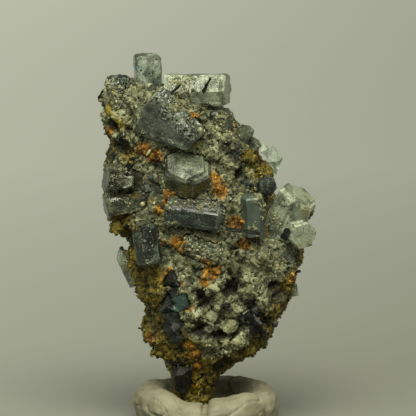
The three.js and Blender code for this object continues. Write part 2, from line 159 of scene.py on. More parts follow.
def millimetres(tree):
    """Object coordinates in millimetres."""
    place = add_node(tree, "TexCoord", {}).outputs["Object"]
    scale = (1 / MM, 1 / MM, 1 / MM)
    return add_node(tree, "VectorMath", {0: place, 1: scale}, operation="MULTIPLY").outputs[0]


def own_place(tree, along=1.0):
    """A crystal's own coordinates in millimetres, times a number along the crystal."""
    own = add_node(tree, "Attribute", {}, attribute_name="own").outputs["Vector"]
    return add_node(tree, "VectorMath", {0: own, 1: (1, 1, along)}, operation="MULTIPLY").outputs[0]


print("node helpers ready")

# %% [markdown]
# Patterns come from soft noise and from Voronoi cells. Their sizes are given in millimetres, so a
# grain in the shader is as large as one on the real rock. A value can be stretched, so that it runs
# from one number to another where the pattern runs from low to high.

# %% Pattern helpers


def grain(tree, place, size, detail=3.0, rough=0.6):
    """Soft noise from 0 to 1, with lumps of about that size in millimetres."""
    inputs = {"Vector": place, "Scale": 1 / size, "Detail": detail, "Roughness": rough}
    return add_node(tree, "TexNoise", inputs).outputs["Fac"]


def cells(tree, place, size, output):
    """Voronoi cells of about that size in millimetres: their colours, or the distance to a middle."""
    inputs = {"Vector": place, "Scale": 1 / size, "Randomness": 1.0}
    return add_node(tree, "TexVoronoi", inputs).outputs[output]


def chances(tree, place, size):
    """Two random numbers from 0 to 1 for each Voronoi cell, called Red and Green."""
    return add_node(tree, "SeparateColor", {"Color": cells(tree, place, size, "Color")}).outputs


def between(tree, value, low, high, start=0.0, end=1.0):
    """Stretches a value so that low and high become start and end, and holds it there."""
    inputs = {"Value": value, "From Min": low, "From Max": high, "To Min": start, "To Max": end}
    return add_node(tree, "MapRange", inputs).outputs["Result"]


print("pattern helpers ready")

# %% [markdown]
# Colours are built up in layers: one colour is laid over another where a value runs from low to
# high. Each material ends in one Principled shader, and its fine relief is a bump whose depth is
# given in millimetres.

# %% Colour helpers


def blend(tree, share, first, second):
    """Mixes two colours by a share from 0 to 1."""
    a, b = ((*colour, 1) if isinstance(colour, tuple) else colour for colour in (first, second))
    return add_node(tree, "Mix", {0: share, 6: a, 7: b}, data_type="RGBA").outputs[2]


def layer(tree, under, over, value, low, high, most=1.0):
    """Lays a colour over another as a value runs from low to high, up to a greatest share."""
    return blend(tree, between(tree, value, low, high, 0, most), under, over)


def calc(tree, operation, first, second):
    """Arithmetic on two values."""
    return add_node(tree, "Math", {0: first, 1: second}, operation=operation).outputs[0]


def stored(tree, name):
    """A number that each point of the mesh carries."""
    return add_node(tree, "Attribute", {}, attribute_name=name).outputs["Fac"]


def relief(tree, height, depth, under=None):
    """A bump whose height 1 stands that many millimetres above height 0, on another bump or none."""
    inputs = {"Height": height, "Strength": 1.0, "Distance": depth * MM}
    if under is not None:
        inputs["Normal"] = under
    return add_node(tree, "Bump", inputs).outputs["Normal"]


def new_material(name):
    """A material with one Principled shader, and its node tree and shader."""
    material = bpy.data.materials.new(name)
    material.use_nodes = True
    return material, material.node_tree, material.node_tree.nodes["Principled BSDF"]


print("colour helpers ready")

# %% [markdown]
# The floor is one face many metres wide, so it is all that the camera sees behind the specimen. Its
# finish is a matte pale grey with painted light: it grows lighter with distance and towards the left,
# as a sweep of paper does under a lamp on the left.

# %% Floor
FLOOR_HALF_WIDTH = 30
FLOOR_NEAR = (0.185, 0.191, 0.176)
FLOOR_FAR_PAINTED_LIGHT = (0.437, 0.455, 0.456)
# From where to where, in metres, and how much of the far, painted-light colour there is at each end.
NEAR_STRETCH = (0.0, 0.5, 0.0, 0.55)
FAR_STRETCH = (0.5, 1.5, 0.0, 0.25)
PAINTED_LIGHT_LEFT_TO_RIGHT = (-0.12, 0.12, 0.20, -0.20)


def make_floor_material():
    """Matte paper, with painted light: lighter far away and on the left."""
    material, tree, shader = new_material("floor")
    place = add_node(tree, "TexCoord", {}).outputs["Object"]
    parts = add_node(tree, "SeparateXYZ", {0: place}).outputs
    near, far = (between(tree, parts["Y"], *stretch) for stretch in (NEAR_STRETCH, FAR_STRETCH))
    # Painted light: the share of the lighter far colour grows with distance and towards the left.
    share = calc(tree, "ADD", calc(tree, "ADD", near, far), between(tree, parts["X"], *PAINTED_LIGHT_LEFT_TO_RIGHT))
    colour = blend(tree, share, FLOOR_NEAR, FLOOR_FAR_PAINTED_LIGHT)
    fill(tree, shader, {"Base Color": colour, "Roughness": 0.9})
    return material


def add_floor():
    """A floor that fills the picture."""
    bm = bmesh.new()
    bmesh.ops.create_grid(bm, x_segments=1, y_segments=1, size=FLOOR_HALF_WIDTH)
    mesh = bpy.data.meshes.new("floor")
    bm.to_mesh(mesh)
    bm.free()
    mesh.materials.append(make_floor_material())
    floor = bpy.data.objects.new("floor", mesh)
    bpy.context.scene.collection.objects.link(floor)


add_floor()
print("floor ready")

# %% [markdown]
# Every visible piece starts as a merged copy of its CAD solid, or is scattered over one. These
# helpers copy a solid, turn a bmesh into a finished object on the right body, and read or write a
# mesh's points as arrays, which is quick for a hundred thousand points.

# %% Mesh helpers


def merged_copy(node):
    """A bmesh of a CAD solid, with its loose triangles joined."""
    bm = bmesh.new()
    bm.from_mesh(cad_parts[node].data)
    bmesh.ops.remove_doubles(bm, verts=bm.verts, dist=1e-6)
    return bm


def finished(name, mesh, material, stands_for=()):
    """Makes a mesh a finished piece on the one body, in place of the CAD solids it stands for."""
    piece = bpy.data.objects.new(name, mesh)
    bpy.context.scene.collection.objects.link(piece)
    mesh.materials.clear()
    mesh.materials.append(material)
    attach(piece, "root")
    if stands_for:
        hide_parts(*stands_for)
    print(f"{name}: {len(mesh.polygons)} faces")


def remeshed(node, voxel):
    """A CAD solid as small even squares, by a voxel Remesh modifier that is then applied."""
    bm = merged_copy(node)
    rough = bpy.data.meshes.new("rough")
    bm.to_mesh(rough)
    bm.free()
    holder = bpy.data.objects.new("holder", rough)
    bpy.context.scene.collection.objects.link(holder)
    modifier = holder.modifiers.new("remesh", "REMESH")
    modifier.mode = "VOXEL"
    modifier.voxel_size = voxel
    ready = holder.evaluated_get(bpy.context.evaluated_depsgraph_get())
    mesh = bpy.data.meshes.new_from_object(ready)
    bpy.data.objects.remove(holder)
    bpy.data.meshes.remove(rough)
    return mesh


def rows_of(things, field):
    """A field of three numbers of all the mesh's points, as an array with a row for each."""
    flat = np.empty(3 * len(things), dtype=np.float32)
    things.foreach_get(field, flat)
    return flat.reshape(-1, 3).astype(np.float64)


def points_of(mesh):
    """The mesh's points as an array of places."""
    return rows_of(mesh.vertices, "co")


def normals_of(mesh):
    """The mesh's point normals as an array."""
    return rows_of(mesh.vertex_normals, "vector")


def move_points(mesh, points):
    """Puts the mesh's points at new places."""
    mesh.vertices.foreach_set("co", points.astype(np.float32).ravel())
    mesh.update()


def store(mesh, name, values):
    """Gives every point of the mesh a number, or a vector where values has three columns."""
    kind, field = ("FLOAT", "value") if values.ndim == 1 else ("FLOAT_VECTOR", "vector")
    attribute = mesh.attributes.new(name, kind, "POINT")
    attribute.data.foreach_set(field, values.astype(np.float32).ravel())


print("mesh helpers ready")

# %% [markdown]
# Grains have to know where the rock and the crystals are. A search tree over the CAD solids finds
# the nearest point of a surface, or the point that a ray meets, and there is one for all the
# crystals together and one for the rock.

# %% Search trees


def tree_of(nodes):
    """A search tree over several CAD solids, for nearest points and rays."""
    corners, faces = [], []
    for node in nodes:
        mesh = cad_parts[node].data
        start = len(corners)
        corners += [v.co.copy() for v in mesh.vertices]
        faces += [[start + i for i in polygon.vertices] for polygon in mesh.polygons]
    return BVHTree.FromPolygons(corners, faces)


BERYL = [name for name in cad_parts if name.startswith("aquamarine")]
SCHORL = [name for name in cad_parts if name.startswith("schorl")]
CRYSTALS = BERYL + [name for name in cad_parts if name.startswith("fluorite")] + SCHORL
crystal_tree = tree_of(CRYSTALS)
rock_tree = tree_of(["matrix"])
print(len(CRYSTALS), "crystal pieces,", len(BERYL), "of them beryl and", len(SCHORL), "schorl")

# %% [markdown]
# The rock's colour comes in patches: bright rust in the joints between crystals, a brown crust down
# the edges and the foot, slate grey where beryl shows through the grains, and pale mica elsewhere,
# painted brighter where it faces the light, which is painted light. Each patch is a place on the
# front, given as x and height in millimetres with a radius. How strongly a point lies in a patch is
# stored on the mesh, and the shader breaks the patches' edges up with noise.

# %% Rust and ochre patches
RUST = {
    "under_slanting_prism": [(-15.8, 70.2, 2.1), (-13.0, 68.6, 2.3)],
    "beside_slanting_prism": [(-3.2, 79.2, 1.3)],
    "left_edge": [(-24.2, 74.6, 1.3)],
    "under_middle_prism": [(-9.2, 60.0, 1.4), (-11.8, 55.6, 1.3)],
    "right_of_centre": [(2.2, 63.2, 1.7), (3.4, 60.6, 2.2)],
    "above_needle": [(6.8, 52.4, 1.8), (8.6, 51.8, 1.3)],
    "below_middle": [(-7.2, 47.4, 2.0), (-6.4, 45.0, 1.7)],
    "lower_centre": [(-0.6, 42.4, 1.8), (1.0, 40.0, 2.2), (-0.8, 38.0, 1.4)],
    "right_lower_centre": [(9.2, 46.8, 1.8)],
    "right_shoulder": [(14.6, 66.0, 2.4)],
    "by_right_prism": [(15.8, 57.4, 1.0)],
    "right_rim": [(21.6, 38.0, 1.8)],
    "above_foot": [(-3.0, 18.6, 1.9), (-4.4, 21.4, 1.5), (-2.0, 15.4, 1.4)],
    "lower_left_rim": [(-14.6, 22.6, 1.6)],
}
OCHRE = {
    "left_flank": [(-17.0, 44.0, 2.6), (-17.4, 39.0, 3.0), (-16.4, 33.6, 3.0), (-15.6, 28.0, 3.0)],
    "lower_left": [(-14.4, 22.6, 3.4), (-11.0, 19.4, 2.8), (-6.0, 20.4, 3.0)],
    "foot": [(-4.0, 12.6, 4.4), (0.2, 9.6, 3.6), (1.6, 14.2, 3.4), (-5.0, 6.4, 4.6)],
    "lower_right_rim": [(15.2, 23.4, 3.0), (12.2, 19.6, 2.8), (17.4, 28.6, 2.2), (7.6, 17.2, 2.6)],
    "upper_left": [(-26.4, 80.6, 0.9), (-21.8, 76.0, 1.2), (-24.4, 71.0, 1.6), (-19.6, 69.4, 1.6)],
    "by_fluorite": [(-13.2, 38.0, 2.4), (-13.0, 33.0, 2.6), (-12.4, 28.0, 2.4), (-11.6, 23.6, 2.0)],
    "right_shoulder": [(13.6, 69.0, 2.2), (15.4, 64.6, 2.6)],
    "left_ledge": [(-22.4, 50.6, 2.6), (-19.0, 49.0, 1.8)],
    "right_rim": [(22.4, 36.0, 2.2), (20.4, 31.6, 2.0)],
}
print("stained patches:", len(RUST) + len(OCHRE))

# %% [markdown]
# Pale mica lies where the light falls, so its patches are partly the mica's own colour and partly
# painted light, and painted light spots make it brightest of all on the upper left, under the clear
# prism and in the lower middle. Slate grey patches are beryl that shows through the grains.

# %% Pale, painted light and slate patches
PALE = {
    "upper_left": [(-24.4, 83.4, 3.4), (-23.0, 79.0, 3.2), (-21.2, 73.6, 2.8), (-18.8, 84.4, 1.8),
                   (-22.6, 76.0, 2.4)],
    "under_blocks": [(2.6, 72.4, 2.4), (-2.4, 71.8, 2.0), (5.2, 66.6, 2.2), (0.4, 67.4, 2.2),
                     (-0.6, 75.4, 1.4)],
    "right_ridge": [(11.6, 65.0, 1.3), (12.6, 61.0, 1.5), (14.4, 57.8, 1.5), (16.0, 54.8, 1.6),
                    (17.8, 51.4, 1.6), (19.6, 48.6, 1.6)],
    "lower_centre": [(3.0, 36.6, 4.4), (8.4, 31.8, 3.0), (2.2, 27.4, 3.6), (11.2, 38.2, 2.8),
                     (-1.6, 31.4, 2.6)],
    "lower_right": [(6.2, 22.2, 2.8), (13.8, 33.6, 2.2), (12.6, 43.8, 2.8), (-1.6, 23.0, 2.2),
                    (17.6, 40.0, 2.4)],
    "foot": [(-0.6, 12.4, 2.6), (-3.6, 8.4, 2.4), (1.0, 16.6, 2.2)],
    "left_of_centre": [(-9.6, 39.4, 1.6), (-4.6, 40.0, 1.8), (-20.4, 57.2, 1.4), (-8.6, 68.4, 1.2)],
}
# Painted light: spots where the ground is lit brightest, added to the pale weight.
PAINTED_LIGHT_SPOTS = {
    "upper_left": [(-25.2, 83.0, 2.8), (-23.8, 79.8, 2.8), (-21.4, 78.8, 2.2), (-25.0, 86.2, 1.4),
                   (-20.0, 75.0, 1.8), (-22.6, 74.6, 1.8), (-18.6, 83.0, 1.2), (-23.8, 85.2, 2.2)],
    "block": [(-5.0, 87.4, 1.8), (-8.0, 86.4, 1.4), (-6.6, 79.8, 1.4)],
    "centre": [(-21.6, 71.4, 1.2), (3.6, 74.4, 1.4), (5.4, 69.6, 1.4), (7.0, 65.0, 1.3),
               (2.0, 71.4, 1.2)],
    "lower_centre": [(3.0, 36.6, 2.8), (2.2, 27.4, 2.4), (8.4, 31.8, 2.0), (6.2, 22.6, 2.2),
                     (-1.6, 31.0, 1.6)],
}
SLATE = {
    "roots_of_left_group": [(-17.6, 62.8, 2.2), (-15.4, 60.2, 2.3), (-16.6, 57.4, 2.0),
                            (-14.2, 63.4, 1.4)],
    "right_of_prism": [(7.2, 70.0, 2.0), (8.8, 66.6, 1.7)],
    "above_slate_prism": [(9.4, 61.6, 1.8)],
    "right_edge": [(20.6, 43.4, 2.2)],
    "foot_left": [(-7.4, 12.0, 3.0)],
    "under_left_group": [(-16.0, 52.0, 1.8)],
    "lower_right": [(12.6, 30.0, 2.4), (9.0, 27.6, 1.8)],
    "beside_top": [(-10.4, 84.0, 1.8)],
    "dark_band": [(-8.6, 35.0, 2.6), (-8.6, 30.0, 2.6), (-8.2, 25.6, 2.2)],
}
print("other patches:", len(PALE) + len(PAINTED_LIGHT_SPOTS) + len(SLATE))

# %% [markdown]
# A patch is full in its middle and fades smoothly. A ray shot back from the front finds the depth
# of its middle on the rock, or the nearest point where the ray misses the rim. Grains that stand in
# front of the rock take the patch that the front view shows behind them. On the back, which the
# photograph doesn't show, soft noise places rust and ochre.

# %% Patch weights
FADE = 0.7
PAINTED_LIGHT_SHARE = 1.1
UNSEEN_STRENGTH = 2.2
UNSEEN_FROM = 4.0
RAY_START = -60 * MM
START_TO_RIM = 50 * MM


def spots_of(patches):
    """Every spot of a table of patches: x, height and radius in millimetres."""
    return [spot for spots in patches.values() for spot in spots]


def on_front(x, height, surface):
    """The point of a surface that faces the front at that x and height, both in millimetres."""
    start = Vector((x * MM, RAY_START, height * MM))
    hit, *_ = surface.ray_cast(start, Vector((0, 1, 0)))
    return hit if hit is not None else surface.find_nearest(start + Vector((0, START_TO_RIM, 0)))[0]


def patch_weights(points, patches, surface=rock_tree):
    """How strongly each point lies in any of the patches on a surface, from 0 to 1."""
    weights = np.zeros(len(points))
    for x, height, radius in spots_of(patches):
        middle = np.array(on_front(x, height, surface))
        gap = np.linalg.norm(points - middle, axis=1) / (radius * MM)
        weights = np.maximum(weights, np.exp(-(gap**2) * FADE))
    return weights


def flat_weights(points, patches):
    """The same, but as the front view shows it, however far back each point lies."""
    weights = np.zeros(len(points))
    for x, height, radius in spots_of(patches):
        gap = np.hypot(points[:, 0] / MM - x, points[:, 2] / MM - height) / radius
        weights = np.maximum(weights, np.exp(-(gap**2) * FADE) * (points[:, 1] < 0))
    return weights


def unseen_patches(points, size, threshold):
    """Soft patches of about that size on the back, where the photograph shows nothing."""
    weights = [max(0.0, noise.noise(Vector(point) / MM / size) - threshold) for point in points]
    return UNSEEN_STRENGTH * np.array(weights) * np.clip(points[:, 1] / MM / UNSEEN_FROM, 0, 1)


def store_patches(mesh, weigh):
    """Gives every point of a mesh the weights of the rock's patches, of four kinds."""
    points = points_of(mesh)
    store(mesh, "slate", weigh(points, SLATE))
    # The pale weight holds the pale mica and the painted light spots together.
    store(mesh, "pale", weigh(points, PALE) + PAINTED_LIGHT_SHARE * weigh(points, PAINTED_LIGHT_SPOTS))
    store(mesh, "rust", weigh(points, RUST) + unseen_patches(points, 3.6, 0.22))
    store(mesh, "ochre", weigh(points, OCHRE) + unseen_patches(points, 9.0, 0.0))


print("spots:", sum(len(spots_of(group)) for group in (RUST, OCHRE, SLATE, PALE, PAINTED_LIGHT_SPOTS)))

# %% [markdown]
# The rock is one crumbly mass. Noise alone would give it lumps in the wrong places, so the larger
# lumps and gaps that the photograph shows are set one by one, as x, height and radius. The ground
# is coarse in the lower middle and fine to the right of it.

# %% Lumps and gaps of the rock
SEEN_LUMPS = {
    "upper_row": [(7.0, 41.8, 2.0), (12.0, 42.4, 2.6), (-1.8, 39.9, 1.5), (-5.5, 42.4, 1.3),
                  (4.0, 43.6, 1.4)],
    "middle_row": [(10.8, 35.1, 2.4), (1.7, 36.3, 2.2), (2.0, 32.3, 1.7), (14.5, 32.8, 1.9),
                   (8.0, 31.0, 1.5)],
    "lower_row": [(1.3, 28.5, 1.9), (-3.6, 28.5, 1.5), (5.8, 26.5, 2.1), (8.2, 22.7, 2.2),
                  (0.0, 22.4, 2.0)],
    "left_ledge": [(-22.2, 50.6, 1.7), (-20.4, 49.2, 1.5), (-23.6, 52.4, 1.5)],
    "right_ridge": [(12.6, 60.6, 1.4), (14.2, 57.8, 1.3), (15.6, 55.2, 1.3), (17.0, 52.4, 1.4),
                    (18.2, 50.0, 1.2)],
    "upper_ground": [(2.6, 73.6, 1.8), (6.0, 66.4, 1.9), (0.6, 69.0, 1.7), (-23.6, 83.0, 2.0),
                     (-21.8, 78.4, 1.7)],
}
SEEN_GAPS = {
    "lower_centre": [(5.8, 36.4, 1.3), (4.6, 31.0, 1.2), (-0.7, 33.4, 1.2), (8.4, 37.8, 0.9),
                     (-1.6, 25.4, 1.2)],
    "right": [(12.2, 28.6, 1.6), (11.0, 31.6, 0.9), (3.4, 24.4, 1.0), (16.4, 36.4, 0.9)],
    "left": [(-20.0, 80.8, 1.0), (-23.6, 76.0, 1.1), (-19.2, 75.4, 1.0), (-22.6, 70.4, 1.1),
             (-8.4, 70.4, 1.1)],
    "centre": [(-9.4, 84.0, 1.3), (-13.0, 61.4, 1.1), (8.2, 64.0, 0.9), (-0.6, 57.4, 1.0),
               (13.4, 49.4, 1.0)],
}
SEEN_LUMP_HEIGHT = 0.8
SEEN_GAP_DEPTH = 1.9
GAP_SHADE = 0.9
FINE_GROUND = {"right_of_middle": [(13.0, 43.6, 3.4), (16.2, 40.0, 3.4), (18.4, 44.6, 2.6),
                                   (15.4, 36.4, 2.4)]}
COARSE_GROUND = {"lower_middle": [(3.0, 36.0, 7.0), (8.0, 32.0, 8.0), (2.0, 27.0, 7.0),
                                  (11.0, 38.0, 6.0), (9.0, 24.0, 6.0)]}
print("lumps:", len(spots_of(SEEN_LUMPS)), "gaps:", len(spots_of(SEEN_GAPS)))

# %% [markdown]
# The rock's CAD solid has the main lumps and a pocket for each crystal. A voxel remesh gives it
# small even faces, and each point is then pushed along its normal: rounded lumps of about 4 mm and
# angular grains of about 2 mm with creases between them, cavities, and fine noise on top. Near a
# crystal the relief fades and the rock closes the small gap round it, so that each crystal looks
# grown in. Sculpting by hand could do the same, but not the same way each time.

# %% The rock's shape
ROCK_VOXEL = 0.42 * MM
GAP_CLOSED = 0.34 * MM
LOWEST_ROCK = 3.0 * MM
# Sizes across and depths in millimetres.
BIG_LUMPS = (4.0, 2.1)
SMALL_LUMPS = (1.9, 0.62)
FINE_NOISE = (0.8, 0.50)
CAVITIES = (5.0, 2.0)
JOINT_WIDTH = 1.7
JOINT_STAIN = 0.6


def packed_grains(place, size, metric="DISTANCE"):
    """Height from 0 in the creases to 1 on top of packed grains of that size."""
    distances, _ = noise.voronoi(place / size, distance_metric=metric)
    return min(1.0, (distances[1] - distances[0]) * 1.7)


def rock_height(place, coarse):
    """How far, in millimetres, the rock's skin stands out at a place given in millimetres."""
    height = BIG_LUMPS[1] * (packed_grains(place, BIG_LUMPS[0]) - 0.55) * max(0.1, 0.3 + 0.7 * coarse)
    angular = packed_grains(place, SMALL_LUMPS[0], "MANHATTAN")
    height += SMALL_LUMPS[1] * (angular - 0.5) * min(1.0, 1.1 + coarse)
    height -= CAVITIES[1] * max(0.0, noise.noise(place / CAVITIES[0]) - 0.12)
    return height + FINE_NOISE[1] * noise.noise(place / FINE_NOISE[0])


def joint_rust(place, distance):
    """Rust that seeped into the joint between the rock and a crystal, in stretches."""
    depth = max(0.0, 1 - distance / (JOINT_WIDTH * MM))
    return min(JOINT_STAIN, 3.0 * depth * max(0.0, noise.noise(place / MM / 4.0) - 0.12))


def make_rock():
    """The rock: remeshed, displaced and marked with its colour patches."""
    mesh = remeshed("matrix", ROCK_VOXEL)
    points, normals = points_of(mesh), normals_of(mesh)
    lift, joints = np.empty(len(points)), np.empty(len(points))
    coarse = patch_weights(points, COARSE_GROUND) - patch_weights(points, FINE_GROUND)
    seen = SEEN_LUMP_HEIGHT * patch_weights(points, SEEN_LUMPS)
    seen -= SEEN_GAP_DEPTH * patch_weights(points, SEEN_GAPS)
    for i, point in enumerate(points):
        place = Vector(point)
        distance = max(crystal_tree.find_nearest(place)[3], 0.01 * MM)
        free = min(1.0, max(0.15, (distance / MM - 0.3) / 1.3))
        joints[i] = joint_rust(place, distance)
        height = rock_height(place / MM, coarse[i]) + seen[i] - 0.2
        lift[i] = height * MM * free + GAP_CLOSED * min(1.0, 1.4 * MM / distance)
    points += normals * lift[:, None]
    points[:, 2] = np.maximum(points[:, 2], LOWEST_ROCK)
    move_points(mesh, points)
    # The stored height is lowered in the gaps, so that the colour darkens there as painted shade.
    store(mesh, "raised", lift / MM - GAP_SHADE * patch_weights(points, SEEN_GAPS))
    store(mesh, "joint", joints)
    store_patches(mesh, patch_weights)
    mesh.shade_smooth()
    return mesh


rock_mesh = make_rock()
print("rock:", len(rock_mesh.polygons), "faces")

# %% [markdown]
# The rock's material has three kinds of grain in it, and a crumb that lies on it has the same
# colours, so one recipe serves both. Voronoi cells give each grain its own shade from grey-green
# mica to white feldspar, some cells are black schorl, and the stored patches pull the colour to
# rust, ochre or slate, or lighten it where pale mica and painted light lie. Deep creases and gaps are
# painted dark, as painted shade. A crumb takes its shade from its own stored number instead of a
# cell. The numbers in a layer say where in the noise its colour starts and is full.

# %% Rock colours
MICA_DARK = (0.036, 0.040, 0.024)
MICA_PALE = (0.175, 0.182, 0.105)
FELDSPAR = (0.38, 0.385, 0.25)
RUST_BRIGHT = (0.46, 0.215, 0.014)
RUST_DARK = (0.085, 0.036, 0.006)
OCHRE_BROWN = (0.068, 0.046, 0.004)
OCHRE_PALE = (0.275, 0.206, 0.020)
SLATE_GREY = (0.045, 0.056, 0.050)
CREVICE_PAINTED_SHADE = (0.009, 0.008, 0.004)
BLACK = (0.005, 0.005, 0.005)


def plus_grain(tree, name, ragged, share):
    """A stored weight with a ragged edge."""
    return calc(tree, "ADD", stored(tree, name), calc(tree, "MULTIPLY", ragged, share))


def rock_colour(tree, place, shade):
    """The colour of mica and feldspar of that shade, with the patches and painted shade in the creases."""
    ragged = grain(tree, place, 1.1, 5.0, 0.75)
    # Paler where the pale mica and the painted light lie.
    paler_and_painted_light = between(tree, plus_grain(tree, "pale", ragged, 0.7), 0.45, 2.6, -0.08, 0.54)
    speckle = between(tree, grain(tree, place, 0.28, 2.0), 0.35, 0.65, -0.17, 0.17)
    shade = calc(tree, "ADD", calc(tree, "ADD", shade, paler_and_painted_light), speckle)
    colour = layer(tree, MICA_DARK, MICA_PALE, shade, 0.05, 0.6)
    colour = layer(tree, colour, FELDSPAR, shade, 0.64, 1.06)
    colour = layer(tree, colour, SLATE_GREY, plus_grain(tree, "slate", ragged, 0.9), 0.85, 1.15, 0.85)
    stains = calc(tree, "MULTIPLY", grain(tree, place, 3.2, 3.0, 0.6), 1.45)
    brown = layer(tree, OCHRE_BROWN, OCHRE_PALE, shade, 0.1, 0.9)
    colour = layer(tree, colour, brown, plus_grain(tree, "ochre", ragged, stains), 0.38, 0.73, 0.93)
    rust = calc(tree, "ADD", plus_grain(tree, "rust", ragged, 0.8), stored(tree, "joint"))
    red = layer(tree, RUST_DARK, RUST_BRIGHT, shade, 0.2, 0.8)
    colour = layer(tree, colour, red, rust, 0.80, 1.02, 0.95)
    # Painted shade: the colour darkens where the skin lies low, in creases and gaps.
    return layer(tree, colour, CREVICE_PAINTED_SHADE, stored(tree, "raised"), -0.25, -1.15, 0.92)


print("rock colours ready")

# %% [markdown]
# The rock itself has cells of about a millimetre, bent a little by noise so that they don't look
# like tiles. Each cell has its own shade and gloss, and about one in eight of a second set is
# black schorl.

# %% Rock material
CELL_SIZE = 0.9
SPECK_SIZE = 0.62


def make_rock_material():
    """The rock itself: cells of mica, feldspar and schorl."""
    material, tree, shader = new_material("mica_rock")
    place = millimetres(tree)
    wobble = add_node(tree, "TexNoise", {"Vector": place, "Scale": 0.9, "Detail": 2.0}).outputs["Color"]
    bent = add_node(tree, "VectorMath", {0: place, 1: wobble}, operation="ADD").outputs[0]
    tone = chances(tree, bent, CELL_SIZE)["Red"]
    broad = between(tree, grain(tree, place, 5.0), 0.3, 0.7, -0.12, 0.34)
    colour = rock_colour(tree, place, calc(tree, "ADD", calc(tree, "MULTIPLY", tone, 0.72), broad))
    speck = chances(tree, bent, SPECK_SIZE)["Green"]
    coarse = relief(tree, cells(tree, bent, CELL_SIZE, "Distance"), -0.30)
    fill(tree, shader, {
        "Base Color": layer(tree, colour, BLACK, speck, 0.86, 0.90, 0.92),
        "Roughness": between(tree, tone, 0.0, 1.0, 0.75, 0.38),
        "Specular IOR Level": 0.3,
        "Normal": relief(tree, grain(tree, place, 0.35, 3.0, 0.7), 0.16, coarse),
    })
    return material


finished("rock", rock_mesh, make_rock_material(), ["matrix"])

# %% [markdown]
# Grains, flakes, blades and splinters make the rock's skin sparkle and break up its outline. Each
# kind starts as one small shape made by a bmesh operator: a ball with its corners thrown about for
# feldspar crumbs, a thin six-sided plate and a flat tapered bar for mica, and a six-sided splinter
# for schorl. Each has only a few faces, because thousands of it are made.

# %% Small shapes


def triangles_of(bm):
    """A small shape's points and triangles as arrays. The bmesh is freed."""
    bmesh.ops.triangulate(bm, faces=bm.faces)
    points = np.array([v.co[:] for v in bm.verts])
    triangles = np.array([[v.index for v in face.verts] for face in bm.faces])
    bm.free()
    return points, triangles


def crumb_shape(seed):
    """An angular crumb of radius 1."""
    bm = bmesh.new()
    bmesh.ops.create_icosphere(bm, subdivisions=1, radius=1.0)
    for vertex in bm.verts:
        vertex.co *= 0.78 + 0.4 * noise.cell(vertex.co * 7.3 + Vector((seed, 0, 0)))
    return triangles_of(bm)


def plate_shape():
    """A thin six-sided plate of radius 1."""
    bm = bmesh.new()
    bmesh.ops.create_cone(bm, cap_ends=True, segments=6, radius1=1.0, radius2=0.94, depth=0.22)
    return triangles_of(bm)


def blade_shape():
    """A long thin blade of mica, two long."""
    bm = bmesh.new()
    bmesh.ops.create_cube(bm, size=1.0)
    bmesh.ops.scale(bm, vec=(2.0, 0.62, 0.16), verts=bm.verts)
    for vertex in bm.verts:
        vertex.co.y *= 1 - 0.35 * max(0.0, vertex.co.x)
    return triangles_of(bm)


def splinter_shape():
    """A six-sided splinter, three long and tapered."""
    bm = bmesh.new()
    bmesh.ops.create_cone(bm, cap_ends=True, segments=6, radius1=0.42, radius2=0.34, depth=3.0)
    return triangles_of(bm)


print("small shapes ready")

# %% [markdown]
# A small shape is repeated at points chosen by area over the skin of the rock or of the crystals.
# A function says how thickly grains lie on each face, and each grain takes the patch weights of its
# own face along, so that it has the colour of the ground it lies on. All random numbers come from
# one generator with a fixed seed.

# %% Points on a skin
FIELDS = ("rust", "ochre", "slate", "pale", "joint", "raised")
MANY_SMALL = 2.2
SCATTER_SEED = 7
random = np.random.default_rng(SCATTER_SEED)


class Skin:
    """The faces of a mesh, from which points are drawn by area times what keep gives a face."""

    def __init__(self, mesh, keep):
        mesh.calc_loop_triangles()
        corners = np.empty(3 * len(mesh.loop_triangles), dtype=np.int32)
        mesh.loop_triangles.foreach_get("vertices", corners)
        self.corners = corners.reshape(-1, 3)
        self.points = points_of(mesh)
        a, b, c = (self.points[self.corners[:, i]] for i in range(3))
        cross = np.cross(b - a, c - a)
        area = np.linalg.norm(cross, axis=1) / 2
        self.normals = cross / np.maximum(2 * area, 1e-15)[:, None]
        self.area = area * keep((a + b + c) / 3, self.normals)
        self.fields = {}
        for name in FIELDS:
            values = np.zeros(len(self.points), dtype=np.float32)
            if name in mesh.attributes:
                mesh.attributes[name].data.foreach_get("value", values)
            self.fields[name] = values[self.corners].mean(axis=1)

    def draw(self, count):
        """That many faces and a point on each, drawn by area."""
        chosen = random.choice(len(self.area), size=count, p=self.area / self.area.sum())
        u, v = random.random(count), random.random(count)
        over = u + v > 1
        u[over], v[over] = 1 - u[over], 1 - v[over]
        a, b, c = (self.points[self.corners[chosen, i]] for i in range(3))
        return chosen, a + (b - a) * u[:, None] + (c - a) * v[:, None]


print("seed:", SCATTER_SEED)

# %% [markdown]
# Each grain is turned and scaled at random, most of them small and a few large, and sunk a little
# into the skin. All grains of a kind are joined into one mesh. Arrays keep thousands of them quick.

# %% Scattering


def random_turns(normals, lean):
    """A random rotation matrix for each normal. With lean, its own Z stays near that normal."""
    axis = random.normal(size=normals.shape)
    if lean is not None:
        axis = normals + axis * lean
    axis /= np.linalg.norm(axis, axis=1)[:, None]
    side = np.cross(axis, random.normal(size=normals.shape))
    side /= np.linalg.norm(side, axis=1)[:, None]
    return np.stack([side, np.cross(axis, side), axis], axis=2)


def mesh_of(name, shapes):
    """One mesh of many small shapes, each given as its points and its triangles."""
    starts = np.cumsum([0] + [len(points) for points, _ in shapes])
    points = np.concatenate([points for points, _ in shapes])
    triangles = np.concatenate([triangles + start for (_, triangles), start in zip(shapes, starts)])
    mesh = bpy.data.meshes.new(name)
    mesh.from_pydata(points.tolist(), [], triangles.tolist())
    return mesh


